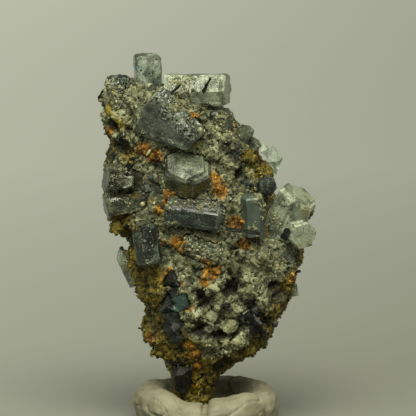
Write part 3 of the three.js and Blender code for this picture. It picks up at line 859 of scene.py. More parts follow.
def scattered(name, shapes, skin, count, sizes, sink, lean=None, squash=(0.6, 1.3)):
    """One mesh of many small shapes on a skin, each with a shade and the skin's patches."""
    faces, places = skin.draw(count)
    normals = skin.normals[faces]
    turns = random_turns(normals, lean)
    reach = sizes[0] + (sizes[1] - sizes[0]) * random.random(count) ** MANY_SMALL
    scale = reach[:, None] * random.uniform(*squash, size=(count, 3)) * MM / 2
    places = places - normals * (sink * reach * MM / 2)[:, None]
    made = []
    for i in range(count):
        points, triangles = shapes[i % len(shapes)]
        made.append(((points * scale[i]) @ turns[i].T + places[i], triangles))
    mesh = mesh_of(name, made)
    corners = [len(points) for points, _ in made]
    store(mesh, "shade", np.repeat(random.random(count), corners))
    for field in FIELDS:
        store(mesh, field, np.repeat(skin.fields[field][faces], corners))
    return mesh


print("scatter helpers ready")

# %% [markdown]
# Crumbs of feldspar lie all over the rock, with thin flakes and long narrow blades of grey mica
# between them. Blades keep out of the brown crust, whose grains are round, and fewer grains lie on
# the large lumps. None lies inside a crystal's pocket or on the part of the foot that the putty
# hides. The flakes and blades lean this way and that, which makes some of them catch the light.

# %% Crumbs, flakes and blades
POCKET_GAP = 0.25 * MM
PUTTY_LEVEL = 5.5 * MM


def outside_crystals(points):
    """1 for a face that lies clear of every crystal, and 0 for one in a pocket."""
    clear = np.ones(len(points))
    for i, point in enumerate(points):
        hit, facing, _, distance = crystal_tree.find_nearest(Vector(point))
        inside = (Vector(point) - hit).dot(facing) < 0
        clear[i] = 0.0 if inside or distance < POCKET_GAP else 1.0
    return clear


def on_open_rock(points, normals):
    """How thickly grains lie: none in a pocket or behind the putty, and fewer on the large lumps."""
    bare = 1 - 0.3 * patch_weights(points, SEEN_LUMPS)
    return outside_crystals(points) * (points[:, 2] > PUTTY_LEVEL) * bare


def in_mica(points, normals):
    """How thickly blades lie: as the other grains, but next to none in the brown crust."""
    bare = (1 - 0.97 * patch_weights(points, OCHRE)) * (1 - 0.5 * patch_weights(points, SEEN_LUMPS))
    return on_open_rock(points, normals) * bare


def make_crumb_material():
    """Crumbs and flakes, in the rock's own colours, with a soft glint."""
    material, tree, shader = new_material("crumbs")
    place = millimetres(tree)
    shade = stored(tree, "shade")
    mottled = calc(tree, "ADD", shade, between(tree, grain(tree, place, 0.5), 0.3, 0.7, -0.15, 0.15))
    fill(tree, shader, {
        "Base Color": rock_colour(tree, place, mottled),
        "Roughness": between(tree, shade, 0.0, 1.0, 0.65, 0.3),
        "Specular IOR Level": 0.35,
        "Normal": relief(tree, grain(tree, place, 0.3, 3.0, 0.7), 0.08),
    })
    return material


crumb_material = make_crumb_material()
crumb_shapes = [crumb_shape(seed) for seed in range(5)]
rock_skin = Skin(rock_mesh, on_open_rock)
mica_skin = Skin(rock_mesh, in_mica)
# Each row: the shapes, where they lie, how many, their sizes, how deep they sink and how far they
# lean. Crumbs lean any way they like.
GROUND_GRAINS = {
    "feldspar_crumbs": (crumb_shapes, rock_skin, 8000, (0.3, 1.0), 0.35),
    "mica_flakes": ([plate_shape()], rock_skin, 3600, (0.35, 1.1), 0.0, 0.6),
    "mica_blades": ([blade_shape()], mica_skin, 9000, (0.4, 1.5), 0.1, 0.7),
}
for name, row in GROUND_GRAINS.items():
    finished(name, scattered(name, *row), crumb_material)

# %% [markdown]
# Some lumps of feldspar are large enough to see one by one, 2 to 3 mm across with a few flat
# faces, because feldspar cleaves. Each is a ball cut back to a handful of random planes, with a
# slightly rough skin, and sits half sunk in the rock at its own place on the front.

# %% Lumps of feldspar
LUMP_SEED = 11
LUMP_PLANES = 9
LUMP_REACH = (0.42, 0.85)
LUMP_LIMIT = 1.1
LUMP_STRETCH = (0.65, 1.35)
LUMP_SHADES = (0.22, 0.64)
LUMP_SHARE = 0.80
LUMP_FORWARD = 0.10


def lump_shape(random):
    """A lump of radius 1 with a few flat faces."""
    bm = bmesh.new()
    bmesh.ops.create_icosphere(bm, subdivisions=4, radius=1.0)
    facing = random.normal(size=(LUMP_PLANES, 3))
    facing /= np.linalg.norm(facing, axis=1)[:, None]
    reach = random.uniform(*LUMP_REACH, size=LUMP_PLANES)
    for vertex in bm.verts:
        along = np.maximum(facing @ np.array(vertex.co), 0.3)
        rough = 0.14 * noise.noise(vertex.co * 2.3) + 0.09 * noise.noise(vertex.co * 5.3)
        vertex.co *= np.min(reach / along, initial=LUMP_LIMIT) + rough
    return triangles_of(bm)


def make_lumps(random):
    """One mesh of all the lumps that the photograph shows."""
    lumps, shades = [], []
    for x, height, radius in spots_of(SEEN_LUMPS):
        points, triangles = lump_shape(random)
        middle = np.array(on_front(x, height, rock_tree)) - (0, LUMP_FORWARD * radius * MM, 0)
        squash = random.uniform(*LUMP_STRETCH, size=3)
        lumps.append((middle + points * squash * radius * LUMP_SHARE * MM, triangles))
        shades.append(np.full(len(points), random.uniform(*LUMP_SHADES)))
    mesh = mesh_of("lumps", lumps)
    store(mesh, "shade", np.concatenate(shades))
    store_patches(mesh, flat_weights)
    return mesh


lump_mesh = make_lumps(np.random.default_rng(LUMP_SEED))
finished("feldspar_lumps", lump_mesh, crumb_material)

# %% [markdown]
# Aquamarine is beryl: six-sided prisms, here grey-blue, cloudy and etched. The CAD solid has the
# crystal's flat faces. They are cut into small faces and pushed in and out a little, along streaks
# that run with the prism, as growth and etching leave them, and the sharp edges are chipped. The
# prism's own axis is the direction that its side faces have least of, which the spread of the face
# normals gives, and the points store their place along that axis so that the shader's streaks run
# the same way. These tables place what differs from crystal to crystal on the front: rust stains,
# painted highlights and painted dark parts, parts where glitter lies, and spots of another hue, the
# sky and rose ones being painted glints.

# %% Stained, painted-highlight and sparkling parts of the crystals
STAINS = {
    "right_group": [(24.4, 55.0, 1.3), (26.8, 53.0, 1.6), (24.6, 58.0, 0.8), (25.4, 45.8, 1.3),
                    (22.4, 45.6, 1.2)],
    "left_blade": [(-19.9, 39.8, 0.7), (-20.4, 44.0, 0.5)],
    "top": [(-16.6, 84.4, 0.9)],
    "centre_rim": [(-5.0, 60.6, 2.0), (-1.4, 61.4, 1.4)],
    "block": [(-7.0, 81.8, 1.5), (-3.6, 81.2, 1.2)],
    "left_group": [(-21.4, 52.0, 1.3), (-25.6, 54.0, 1.1), (-17.6, 59.0, 0.9)],
}
# Painted highlights: where each crystal is lit, its colour is laid in cloudy and pale.
PAINTED_HIGHLIGHTS = {
    "block_end": [(5.0, 86.6, 1.3), (5.0, 83.6, 1.3), (0.6, 87.6, 1.5), (1.8, 83.2, 1.2)],
    "right_small": [(15.0, 62.0, 0.6)],
    "top": [(-13.2, 90.4, 1.3), (-14.8, 86.4, 1.2), (-15.2, 92.2, 1.0)],
    "centre_cap": [(-6.0, 66.4, 1.6), (-2.6, 65.6, 1.3), (-5.0, 69.2, 1.1)],
    "left_group": [(-18.4, 62.6, 1.5), (-22.8, 65.6, 0.8), (-20.0, 55.0, 1.0)],
    "upper_left": [(-23.4, 85.6, 1.5), (-21.0, 86.4, 1.3), (-22.0, 82.6, 1.6), (-24.6, 83.0, 1.4)],
    "slanting_prism": [(-5.4, 76.2, 1.8), (-8.2, 78.8, 1.5), (-10.8, 82.2, 0.9), (-14.2, 79.2, 0.9)],
    "lower_left": [(-17.4, 49.8, 0.6), (-15.2, 46.8, 0.6), (-13.2, 44.0, 0.7)],
    "middle": [(-9.8, 52.6, 0.7), (-4.0, 51.0, 0.8)],
    "right_group": [(21.2, 58.6, 2.0), (18.4, 55.2, 1.5), (24.2, 50.6, 1.4), (22.6, 47.4, 1.2)],
    "under_block": [(-0.6, 77.4, 1.1), (3.6, 80.4, 0.9)],
}
SPARKLING = {
    "slanting_prism": [(-6.0, 77.0, 2.2), (-9.0, 80.2, 2.0), (-4.4, 74.6, 1.6), (-12.4, 83.4, 1.4),
                       (-2.0, 73.0, 1.6)],
    "upper_left": [(-22.0, 85.4, 2.8), (-21.4, 81.4, 2.0), (-19.4, 86.0, 1.6)],
    "left_group": [(-23.4, 63.4, 1.4), (-19.6, 66.4, 1.2)],
    "lower_left": [(-15.2, 47.6, 1.4), (-14.2, 43.0, 1.2)],
    "block": [(-5.4, 85.4, 1.8), (-8.0, 83.8, 1.4)],
    "right_group": [(19.6, 56.6, 1.2)],
    "top": [(-17.4, 90.2, 0.7), (-13.6, 89.2, 0.5)],
}
HUES = {
    # The teal spots are painted light, a glow where one crystal catches the light.
    "teal": {"middle_cubes": [(-6.2, 33.4, 1.9), (-7.4, 31.0, 1.2)]},
    "lilac": {"lower_cube": [(-7.8, 26.6, 1.1)]},
    # The sky and rose spots tint painted glints.
    "sky": {"glints": [(-21.6, 84.2, 0.8), (-17.6, 90.4, 0.9), (-13.4, 89.0, 0.4)]},
    "rose": {"glints": [(-20.4, 82.8, 0.7)]},
}
print("stains:", len(spots_of(STAINS)), "lit:", len(spots_of(PAINTED_HIGHLIGHTS)), "sparkling:", len(spots_of(SPARKLING)))

# %% [markdown]
# The deep parts are painted dark, as painted shade for the dark rock that shows through where the
# crystal is clear. They matter as much as the painted highlights: a cloudy crystal without them
# looks like painted stone.

# %% Deep parts of the crystals, painted dark
PAINTED_DARK_SPOTS = {
    "centre_rim": [(-4.6, 61.2, 2.2), (-8.8, 62.0, 1.5), (-0.6, 62.2, 1.6), (-9.6, 66.6, 1.0)],
    "top": [(-17.8, 90.6, 0.9), (-17.2, 86.4, 0.9), (-11.8, 88.0, 0.7), (-15.6, 84.0, 1.0),
            (-16.0, 93.4, 0.7)],
    "block": [(-6.4, 82.6, 1.4), (-1.6, 85.4, 0.7), (3.2, 86.0, 0.7), (0.6, 81.4, 1.0)],
    "under_block": [(-1.8, 79.4, 1.3), (1.4, 79.2, 0.9)],
    "left_group": [(-21.6, 60.2, 1.5), (-24.8, 59.8, 1.3), (-22.4, 53.6, 1.4), (-25.2, 64.4, 0.9)],
    "slanting_prism": [(-13.6, 77.4, 2.0), (-11.0, 74.4, 1.6), (-17.0, 82.8, 1.2)],
    "middle": [(-9.0, 56.4, 1.5), (-5.0, 56.6, 1.6), (-1.0, 56.2, 1.6), (2.6, 55.2, 1.3),
               (1.2, 52.2, 1.4)],
    "lower_left": [(-16.6, 46.6, 1.4), (-13.8, 48.6, 1.4), (-15.2, 50.8, 1.5), (-14.4, 44.0, 1.2),
                   (-17.4, 49.2, 1.0)],
    "right_group": [(20.8, 52.4, 1.3), (25.6, 57.0, 0.8), (17.4, 49.6, 1.2)],
}
print("deep:", len(spots_of(PAINTED_DARK_SPOTS)))

# %% [markdown]
# A crystal's own frame has its Z along the prism. Long edges are split until the faces are small
# enough to push about, and the distance to the nearest sharp edge says where chips may be. The
# slanting prism and the one fused under it share one convex skin, because the photograph shows no
# notch between them.

# %% Crystal shape helpers


def own_axis(bm):
    """The direction along a prism: the one that its face normals point along least."""
    spread = np.zeros((3, 3))
    for face in bm.faces:
        normal = np.array(face.normal)
        spread += face.calc_area() * np.outer(normal, normal)
    return np.linalg.eigh(spread)[1][:, 0]


def own_places(points, axis):
    """Points in millimetres in a crystal's own frame, whose Z runs along the crystal."""
    helper = np.array([0.0, 0.0, 1.0]) if abs(axis[2]) < 0.8 else np.array([1.0, 0.0, 0.0])
    side = np.cross(axis, helper)
    side /= np.linalg.norm(side)
    frame_axes = np.stack([side, np.cross(axis, side), axis], axis=1)
    return (points / MM) @ frame_axes


def cut_fine(bm, longest):
    """Splits long edges until none is much longer than that."""
    for _ in range(7):
        long_edges = [edge for edge in bm.edges if edge.calc_length() > longest * 1.35]
        if not long_edges:
            break
        bmesh.ops.subdivide_edges(bm, edges=long_edges, cuts=1)
        bmesh.ops.triangulate(bm, faces=[face for face in bm.faces if len(face.verts) > 3])


def edge_distance(bm, points):
    """How far each point is from the nearest sharp edge, in millimetres."""
    sharp = {v.index for edge in bm.edges if not edge.smooth for v in edge.verts}
    finder = KDTree(len(sharp))
    for index in sharp:
        finder.insert(bm.verts[index].co, index)
    finder.balance()
    return np.array([finder.find(point)[2] / MM for point in points])


def wrapped_copy(node):
    """A bmesh of the tightest convex skin round a CAD solid, which fills the notch between prisms."""
    solid = merged_copy(node)
    bm = bmesh.new()
    for vertex in solid.verts:
        bm.verts.new(vertex.co)
    solid.free()
    made = bmesh.ops.convex_hull(bm, input=bm.verts)
    unused = {part for part in made["geom_interior"] if isinstance(part, bmesh.types.BMVert)}
    bmesh.ops.delete(bm, geom=list(unused), context="VERTS")
    return bm


print("crystal shape helpers ready")

# %% [markdown]
# Every crystal of the three kinds gets its surface in the same way: streaks along the prism, pits,
# a slight warp, and chips that bite into the sharp edges. Only the depths differ.

# %% Crystal surface
FACE_SIZE = 0.55 * MM
FLAT_ANGLE = math.radians(2)
SHARP_ANGLE = math.radians(25)
CHIP_REACH = 0.9
WARPS = 0.12
WRAPPED = ["aquamarine_diagonal"]


def crystal_mesh(node, streaks, pits, chips, size=FACE_SIZE):
    """A crystal's CAD solid with etched faces and chipped edges. The depths are in millimetres."""
    bm = wrapped_copy(node) if node in WRAPPED else merged_copy(node)
    axis = own_axis(bm)
    bmesh.ops.dissolve_limit(bm, angle_limit=FLAT_ANGLE, verts=bm.verts, edges=bm.edges)
    bmesh.ops.triangulate(bm, faces=bm.faces)
    cut_fine(bm, size)
    for edge in bm.edges:
        edge.smooth = edge.calc_face_angle(0) < SHARP_ANGLE
    bm.normal_update()
    bm.verts.ensure_lookup_table()
    bm.verts.index_update()
    mesh = bpy.data.meshes.new(node)
    bm.to_mesh(mesh)
    points, normals = points_of(mesh), normals_of(mesh)
    edges = edge_distance(bm, points)
    store(mesh, "edge", edges)
    bm.free()
    marks = {"painted_highlight": PAINTED_HIGHLIGHTS, "deep": PAINTED_DARK_SPOTS, "stain": STAINS, "speckled": SPARKLING, **HUES}
    for name, patches in marks.items():
        store(mesh, name, patch_weights(points, patches, crystal_tree))
    places = own_places(points, axis)
    lift = np.empty(len(points))
    for i, (x, y, z) in enumerate(places):
        streak = noise.noise(Vector((x / 0.8, y / 0.8, z / 6.0)))
        pit = noise.noise(Vector((x, y, z)) / 1.1)
        warp = noise.noise(Vector((x, y, z)) / 3.5)
        lift[i] = streaks * (streak - 0.4) + pits * min(0.0, pit - 0.1) + WARPS * min(0.3, warp)
        chip = max(0.0, noise.noise(Vector((z, x, y)) / 1.5) - 0.02)
        lift[i] -= chips * chip * max(0.0, 1 - edges[i] / CHIP_REACH)
    move_points(mesh, points + normals * (lift * MM)[:, None])
    store(mesh, "own", places)
    mesh.shade_smooth()
    return mesh


print("crystal surface ready")

# %% [markdown]
# The beryl's material is one see-through shader. Its transmission and IOR are plain values. What
# makes one crystal pale and another smoky is the colour, with cloudy white streaks along the prism,
# darker flaws, pale or dark chipped edges and a few black specks of schorl. Where specks crowd,
# some are painted white or coloured, as painted glints.

# %% Beryl material
BERYL_IOR = 1.577
FROSTED_ROUGHNESS = 0.5
STAIN = (0.30, 0.20, 0.040)
# Colours of painted glints.
SKY_GLINT = (0.22, 0.50, 0.62)
ROSE_GLINT = (0.62, 0.16, 0.30)


def make_beryl(name, clear, cloudy, dark, edge, transmission, roughness, depths, streaky):
    """A beryl finish. depths says how much of it is clear, and streaky how white its streaks are."""
    material, tree, shader = new_material(name)
    own = own_place(tree)
    streak = grain(tree, own_place(tree, 0.2), 0.7, 5.0, 0.7)
    cloud = grain(tree, own, 3.0, 4.0, 0.65)
    flaw = grain(tree, own, 0.5, 5.0, 0.75)
    grit = grain(tree, own, 0.26, 2.0, 0.6)
    colour = layer(tree, dark, clear, cloud, *depths)
    colour = layer(tree, colour, cloudy, streak, 0.56, 0.64, streaky)
    frosted = calc(tree, "MULTIPLY", between(tree, flaw, 0.55, 0.60), between(tree, cloud, 0.47, 0.56))
    colour = blend(tree, calc(tree, "MULTIPLY", frosted, streaky), colour, cloudy)
    colour = layer(tree, colour, dark, flaw, 0.42, 0.36, streaky)
    colour = layer(tree, colour, dark, grit, 0.42, 0.30, 0.7 * streaky)
    colour = layer(tree, colour, cloudy, grit, 0.60, 0.70, 0.5 * streaky)
    # Painted shade: the colour darkens in the deep parts, where dark rock shows through.
    deep = calc(tree, "MULTIPLY", stored(tree, "deep"), between(tree, flaw, 0.62, 0.44))
    colour = layer(tree, colour, dark, deep, 0.15, 0.6, 0.85)
    # Painted highlight: the cloudy colour is laid where the crystal is lit.
    painted_highlight = calc(tree, "MULTIPLY", stored(tree, "painted_highlight"), between(tree, flaw, 0.40, 0.60))
    colour = layer(tree, colour, cloudy, painted_highlight, 0.1, 0.9, 0.8)
    rim = calc(tree, "SUBTRACT", stored(tree, "edge"), calc(tree, "MULTIPLY", flaw, 0.7))
    broken = calc(tree, "MULTIPLY", between(tree, rim, 0.08, -0.15), between(tree, cloud, 0.47, 0.53))
    colour = blend(tree, calc(tree, "MULTIPLY", broken, 0.7), colour, edge)
    stain = calc(tree, "MULTIPLY", stored(tree, "stain"), between(tree, flaw, 0.38, 0.60))
    colour = layer(tree, colour, STAIN, stain, 0.10, 0.6, 0.85)
    chance = chances(tree, own, 0.42)
    crowded = calc(tree, "MULTIPLY", stored(tree, "speckled"), 0.36)
    threshold = calc(tree, "SUBTRACT", 0.985, crowded)
    black, white = (calc(tree, "SUBTRACT", chance[key], threshold) for key in ("Red", "Green"))
    colour = layer(tree, colour, BLACK, black, 0.0, 0.02)
    # Painted glints: white or tinted colour on some of the crowded specks.
    glint = layer(tree, cloudy, SKY_GLINT, stored(tree, "sky"), 0.3, 0.6)
    glint = layer(tree, glint, ROSE_GLINT, stored(tree, "rose"), 0.3, 0.6)
    fill(tree, shader, {
        "Base Color": layer(tree, colour, glint, white, 0.06, 0.08, 0.95),
        "Transmission Weight": transmission,
        "IOR": BERYL_IOR,
        "Roughness": between(tree, frosted, 0.0, 1.0, roughness, FROSTED_ROUGHNESS),
        "Normal": relief(tree, flaw, 0.035, relief(tree, streak, 0.045)),
    })
    return material


print("beryl recipe ready")

# %% [markdown]
# Seven finishes cover all the prisms: pale and clear at the top, frosted for the etched ones that
# stand free, grey and cloudy in the middle, misty for the slanting prism, olive for the left group,
# glassy and nearly black for the darkest ones, and a smooth blue-grey slate. The etched ones have
# deep chips, and the clean ones shallow ones.

# %% The seven finishes of beryl
# Each row: clear part, cloudy streaks, dark flaws, chipped edges, transmission, roughness, the range
# of cloud that is clear, and the strength of the streaks.
BERYL_FINISHES = {
    # The pale prism's dark edge colour is painted shade, for the dark rim that refraction gives inside its
    # edges.
    "pale": ((0.52, 0.60, 0.50), (0.84, 0.90, 0.77), (0.055, 0.070, 0.055), (0.07, 0.08, 0.05),
             0.6, 0.08, (0.40, 0.55), 0.6),
    "frosted": ((0.42, 0.47, 0.36), (0.63, 0.68, 0.54), (0.10, 0.12, 0.085), (0.72, 0.78, 0.62),
                0.55, 0.20, (0.36, 0.54), 0.5),
    "grey": ((0.13, 0.148, 0.100), (0.38, 0.42, 0.32), (0.026, 0.030, 0.019), (0.28, 0.31, 0.22),
             0.45, 0.24, (0.38, 0.54), 0.6),
    "misty": ((0.110, 0.132, 0.110), (0.42, 0.48, 0.40), (0.020, 0.025, 0.020), (0.34, 0.40, 0.32),
              0.5, 0.10, (0.36, 0.52), 0.4),
    "olive": ((0.076, 0.082, 0.050), (0.36, 0.39, 0.27), (0.014, 0.015, 0.008), (0.22, 0.23, 0.14),
              0.5, 0.14, (0.40, 0.56), 0.45),
    "glassy": ((0.024, 0.033, 0.029), (0.31, 0.38, 0.32), (0.006, 0.008, 0.007), (0.15, 0.19, 0.16),
               0.5, 0.26, (0.40, 0.58), 0.45),
    "slate": ((0.095, 0.122, 0.105), (0.16, 0.20, 0.17), (0.060, 0.078, 0.066), (0.10, 0.13, 0.11),
              0.3, 0.38, (0.35, 0.6), 0.3),
}
FINISH_OF = {
    "pale": ("top", "back_upper"),
    "frosted": ("block", "right_group", "left_blade"),
    "grey": ("centre", "under_block", "right_shoulder", "lower_middle", "back_lower"),
    "misty": ("diagonal",),
    "olive": ("left_group",),
    "glassy": ("upper_left", "middle", "lower_left", "right_small"),
    "slate": ("slate",),
}
CHIPS = {
    "left_blade": 0.15, "middle": 0.2, "slate": 0.2, "lower_left": 0.3, "right_group": 0.35,
    "right_small": 0.4, "upper_left": 0.45, "right_shoulder": 0.5, "top": 0.5, "block": 0.5,
    "centre": 0.6, "left_group": 0.7, "diagonal": 0.7,
}
USUAL_CHIPS = 1.0
BERYL_STREAKS = 0.06
BERYL_PITS = 0.09

beryl_materials = {name: make_beryl("beryl_" + name, *row) for name, row in BERYL_FINISHES.items()}
finish_of = {prism: name for name, prisms in FINISH_OF.items() for prism in prisms}
beryl_meshes = {}
for node in BERYL:
    prism = node.removeprefix("aquamarine_")
    mesh = crystal_mesh(node, BERYL_STREAKS, BERYL_PITS, CHIPS.get(prism, USUAL_CHIPS))
    finished("beryl_" + prism, mesh, beryl_materials[finish_of[prism]], [node])
    beryl_meshes[node] = mesh

# %% [markdown]
# The fluorite is a column of dark and teal crystals at the lower left and a pair of pale glassy
# points at the right shoulder. The column is nearly opaque from the front because dark rock lies
# behind it, with a teal glow painted where one crystal catches the light, which is painted light,
# and a lilac patch below, so its colour drifts with large soft noise and with two patches.

# %% Fluorite
FLUORITE_IOR = 1.434
FLUORITE_FACE_SIZE = 0.4 * MM
FLUORITE_STREAKS = 0.02
TEAL = (0.055, 0.105, 0.092)
LILAC = (0.19, 0.18, 0.19)
WHITE_FLAW = (0.45, 0.47, 0.42)
# Each row: the finish's name, its deep and bright colours, transmission and bumps in millimetres,
# and then the depths of pits and of chips.
FLUORITE = {
    "fluorite_back": ("fluorite_green", (0.16, 0.20, 0.17), (0.30, 0.37, 0.32), 0.5, 0.12, 0.08, 0.4),
    "fluorite_cluster": ("fluorite_dark", (0.018, 0.019, 0.019), (0.040, 0.052, 0.046), 0.35, 0.12,
                         0.14, 0.7),
    "fluorite_right": ("fluorite_pale", (0.36, 0.43, 0.38), (0.66, 0.73, 0.63), 0.55, 0.03, 0.03, 0.12),
}


def make_fluorite(name, deep, bright, transmission, bumps):
    """A fluorite finish that drifts between a deep and a bright colour, with bumps in millimetres."""
    material, tree, shader = new_material(name)
    own = own_place(tree)
    flaw = grain(tree, own, 0.6, 4.0, 0.7)
    colour = layer(tree, deep, bright, grain(tree, own, 3.2, 2.0), 0.48, 0.62)
    # Painted light: the teal glow where one crystal catches the light.
    colour = layer(tree, colour, TEAL, plus_grain(tree, "teal", flaw, 0.5), 0.5, 1.0, 0.9)
    colour = layer(tree, colour, LILAC, plus_grain(tree, "lilac", flaw, 0.5), 0.6, 1.0, 0.9)
    fill(tree, shader, {
        "Base Color": layer(tree, colour, WHITE_FLAW, flaw, 0.60, 0.72, 0.35),
        "Transmission Weight": transmission,
        "IOR": FLUORITE_IOR,
        "Roughness": between(tree, flaw, 0.35, 0.7, 0.08, 0.35),
        "Normal": relief(tree, flaw, bumps),
    })
    return material


for node, (finish, deep, bright, transmission, bumps, pits, chips) in FLUORITE.items():
    mesh = crystal_mesh(node, FLUORITE_STREAKS, pits, chips, FLUORITE_FACE_SIZE)
    finished(node + "_crystals", mesh, make_fluorite(finish, deep, bright, transmission, bumps),
             [node])

# %% [markdown]
# Schorl is black tourmaline: glossy prisms with fine grooves along them. The CAD prisms keep their
# shape, and the shader draws the grooves as a bump across the prism, with painted grey highlights
# along them.

# %% Schorl
SCHORL_FACE_SIZE = 0.35 * MM
SCHORL_STREAKS = 0.03
SCHORL_PITS = 0.08
SCHORL_CHIPS = 0.5
# Painted highlight: the grey of thin lines where the grooves catch the light.
SCHORL_PAINTED_HIGHLIGHT = (0.060, 0.063, 0.060)


def make_schorl():
    """Glossy black with fine grooves along the prism, and painted grey highlights along the grooves."""
    material, tree, shader = new_material("schorl")
    groove = grain(tree, own_place(tree, 0.06), 0.22)
    fill(tree, shader, {
        "Base Color": layer(tree, BLACK, SCHORL_PAINTED_HIGHLIGHT, groove, 0.58, 0.72),
        "Roughness": between(tree, groove, 0.3, 0.7, 0.22, 0.5),
        "Specular IOR Level": 0.22,
        "Normal": relief(tree, groove, 0.12),
    })
    return material


schorl_material = make_schorl()
schorl_meshes = {}
for node in SCHORL:
    mesh = crystal_mesh(node, SCHORL_STREAKS, SCHORL_PITS, SCHORL_CHIPS, SCHORL_FACE_SIZE)
    finished(node + "_crystals", mesh, schorl_material, [node])
    schorl_meshes[node] = mesh

# %% [markdown]
# Short blocks and splinters of schorl lie all over the rock, and more of them in a few nests, so
# they are scattered there with the same material. Their own frame is the object's.

# %% Blocks and splinters of schorl
SCHORL_NESTS = {
    "lower_right": [(11.4, 29.0, 1.9), (13.0, 26.6, 1.5), (9.6, 30.6, 1.2)],
    "between_prisms": [(-14.2, 77.4, 1.3), (-12.0, 75.6, 0.9)],
    "right": [(18.4, 48.6, 0.9)],
    "foot": [(-7.4, 16.6, 1.2)],
    "left_of_block": [(-10.0, 83.6, 0.9)],
}


def in_nests(points, normals):
    """How thickly blocks of schorl lie on the rock's faces: only in the nests."""
    return patch_weights(points, SCHORL_NESTS) * outside_crystals(points)


# Each row: where they lie, how many, their sizes, how deep they sink, how far they lean, and how
# unlike they are.
SCHORL_SCATTERS = {
    "blocks": (rock_skin, 90, (0.9, 2.2), 0.5, 1.6, (0.7, 1.2)),
    "nests": (Skin(rock_mesh, in_nests), 130, (0.7, 1.8), 0.3, 1.4),
    "splinters": (rock_skin, 1300, (0.25, 0.75), 0.1, 1.2),
}
for name, row in SCHORL_SCATTERS.items():
    mesh = scattered(name, [splinter_shape()], *row)
    store(mesh, "own", points_of(mesh) / MM)
    finished("schorl_" + name, mesh, schorl_material)

# %% [markdown]
# The crystals did not grow on the rock, they grew in it. Mica and feldspar therefore lap over their
# feet and cling to some of their faces, which hides the straight line where a clean prism would
# meet the rock. These grains are scattered over the faces of the beryl and of three schorl prisms:
# thickly within a millimetre or two of the rock, more on a few crusted places, and as thin glitter
# elsewhere.

# %% Grains on the crystals
CRUST = {
    "block": [(-9.6, 85.0, 1.9), (-7.6, 86.6, 1.8), (-4.8, 87.4, 1.6), (-7.0, 83.6, 1.8),
              (-4.2, 84.6, 1.0)],
    "under_block": [(3.8, 78.0, 1.9), (1.6, 75.4, 1.5), (4.4, 74.6, 1.3)],
    "slanting_prism": [(-8.2, 81.4, 1.2), (-16.6, 80.2, 1.5), (-12.6, 70.6, 1.2), (-3.2, 77.2, 1.0),
                       (-1.4, 75.4, 1.0), (-17.4, 78.0, 1.4), (-16.4, 74.6, 1.3)],
    "upper_left": [(-25.8, 84.2, 2.4), (-24.8, 81.6, 2.8), (-22.6, 80.2, 2.4), (-19.8, 80.4, 1.8),
                   (-24.4, 85.8, 1.8), (-22.6, 84.2, 1.8), (-25.8, 86.4, 1.2)],
    "left_group": [(-19.4, 58.4, 1.3), (-24.6, 51.6, 1.1), (-20.8, 66.4, 1.1)],
    "slate": [(9.6, 60.0, 1.6), (12.4, 59.2, 1.9), (13.9, 56.8, 1.7), (14.0, 53.6, 1.5),
              (8.5, 56.6, 0.9), (8.6, 52.6, 1.1), (11.2, 51.0, 1.3)],
    "lower_left": [(-15.4, 52.6, 1.5), (-17.4, 52.2, 1.2)],
    "middle": [(-9.0, 57.2, 1.8), (-5.6, 57.6, 1.6), (-2.2, 57.6, 1.5), (1.2, 57.0, 1.7), (3.6, 55.6, 1.3),
               (-8.2, 52.2, 1.2), (2.6, 50.2, 1.2), (-2.6, 49.2, 1.0)],
    "lower_middle": [(-4.6, 47.2, 2.2), (-2.0, 46.6, 2.0), (0.6, 43.4, 2.0), (3.0, 45.0, 2.4),
                     (-1.0, 43.8, 1.8), (2.4, 42.2, 1.8)],
    "left_needle": [(-18.0, 67.6, 0.9), (-20.0, 65.6, 0.9)],
    "right_group": [(16.6, 52.6, 1.6), (18.2, 56.2, 1.1), (26.0, 53.6, 1.0)],
}
LAP_PER_MM2 = 5.0
GLITTER_PER_MM2 = 1.6
GLITTER_EVERYWHERE = 0.12
GLITTER_IN_PATCHES = 1.6
COVER_RANGE = 0.6 * MM
COVER_START = 0.02 * MM
CRUSTED_SCHORL = ("schorl_lower_right", "schorl_foot", "schorl_left_prism")


def joined(meshes):
    """One mesh made of several."""
    bm = bmesh.new()
    for mesh in meshes:
        bm.from_mesh(mesh)
    whole = bpy.data.meshes.new("joined")
    bm.to_mesh(whole)
    bm.free()
    return whole


def uncovered(point, normal):
    """Whether a crystal's face is in the open there, and not in its pocket in the rock."""
    return rock_tree.ray_cast(point + normal * COVER_START, normal, COVER_RANGE)[0] is None


def near_rock(points, normals):
    """How thickly grains lie by the rock and on a crusted place, and 0 for a free or hidden face."""
    crust = patch_weights(points, CRUST, crystal_tree)
    weights = np.zeros(len(points))
    for i, (point, normal) in enumerate(zip(points, normals)):
        place = Vector(point)
        gap = rock_tree.find_nearest(place)[3] / MM
        wander = 0.9 + 1.1 * noise.noise(place / MM / 1.6)
        near = min(1.0, max(0.0, (wander - gap) / 0.6))
        if max(near, crust[i]) > 0.05 and uncovered(place, Vector(normal)):
            weights[i] = max(near, 2.0 * crust[i] ** 2)
    return weights


def sparkling(points, normals):
    """How thickly glitter lies on a crystal's open faces, and 0 for a hidden face."""
    open_faces = np.array([float(uncovered(Vector(p), Vector(n))) for p, n in zip(points, normals)])
    patches = patch_weights(points, SPARKLING, crystal_tree)
    return open_faces * (GLITTER_EVERYWHERE + GLITTER_IN_PATCHES * patches)


def count_for(skin, density):
    """How many grains give that many to a square millimetre."""
    return int(skin.area.sum() / MM**2 * density)


print("crusted spots:", len(spots_of(CRUST)))

# %% [markdown]
# The crystals' finished meshes are joined into one skin, which takes the rock's patches as the
# front view shows them, so that a grain on a crystal has the colour of the grains round it.

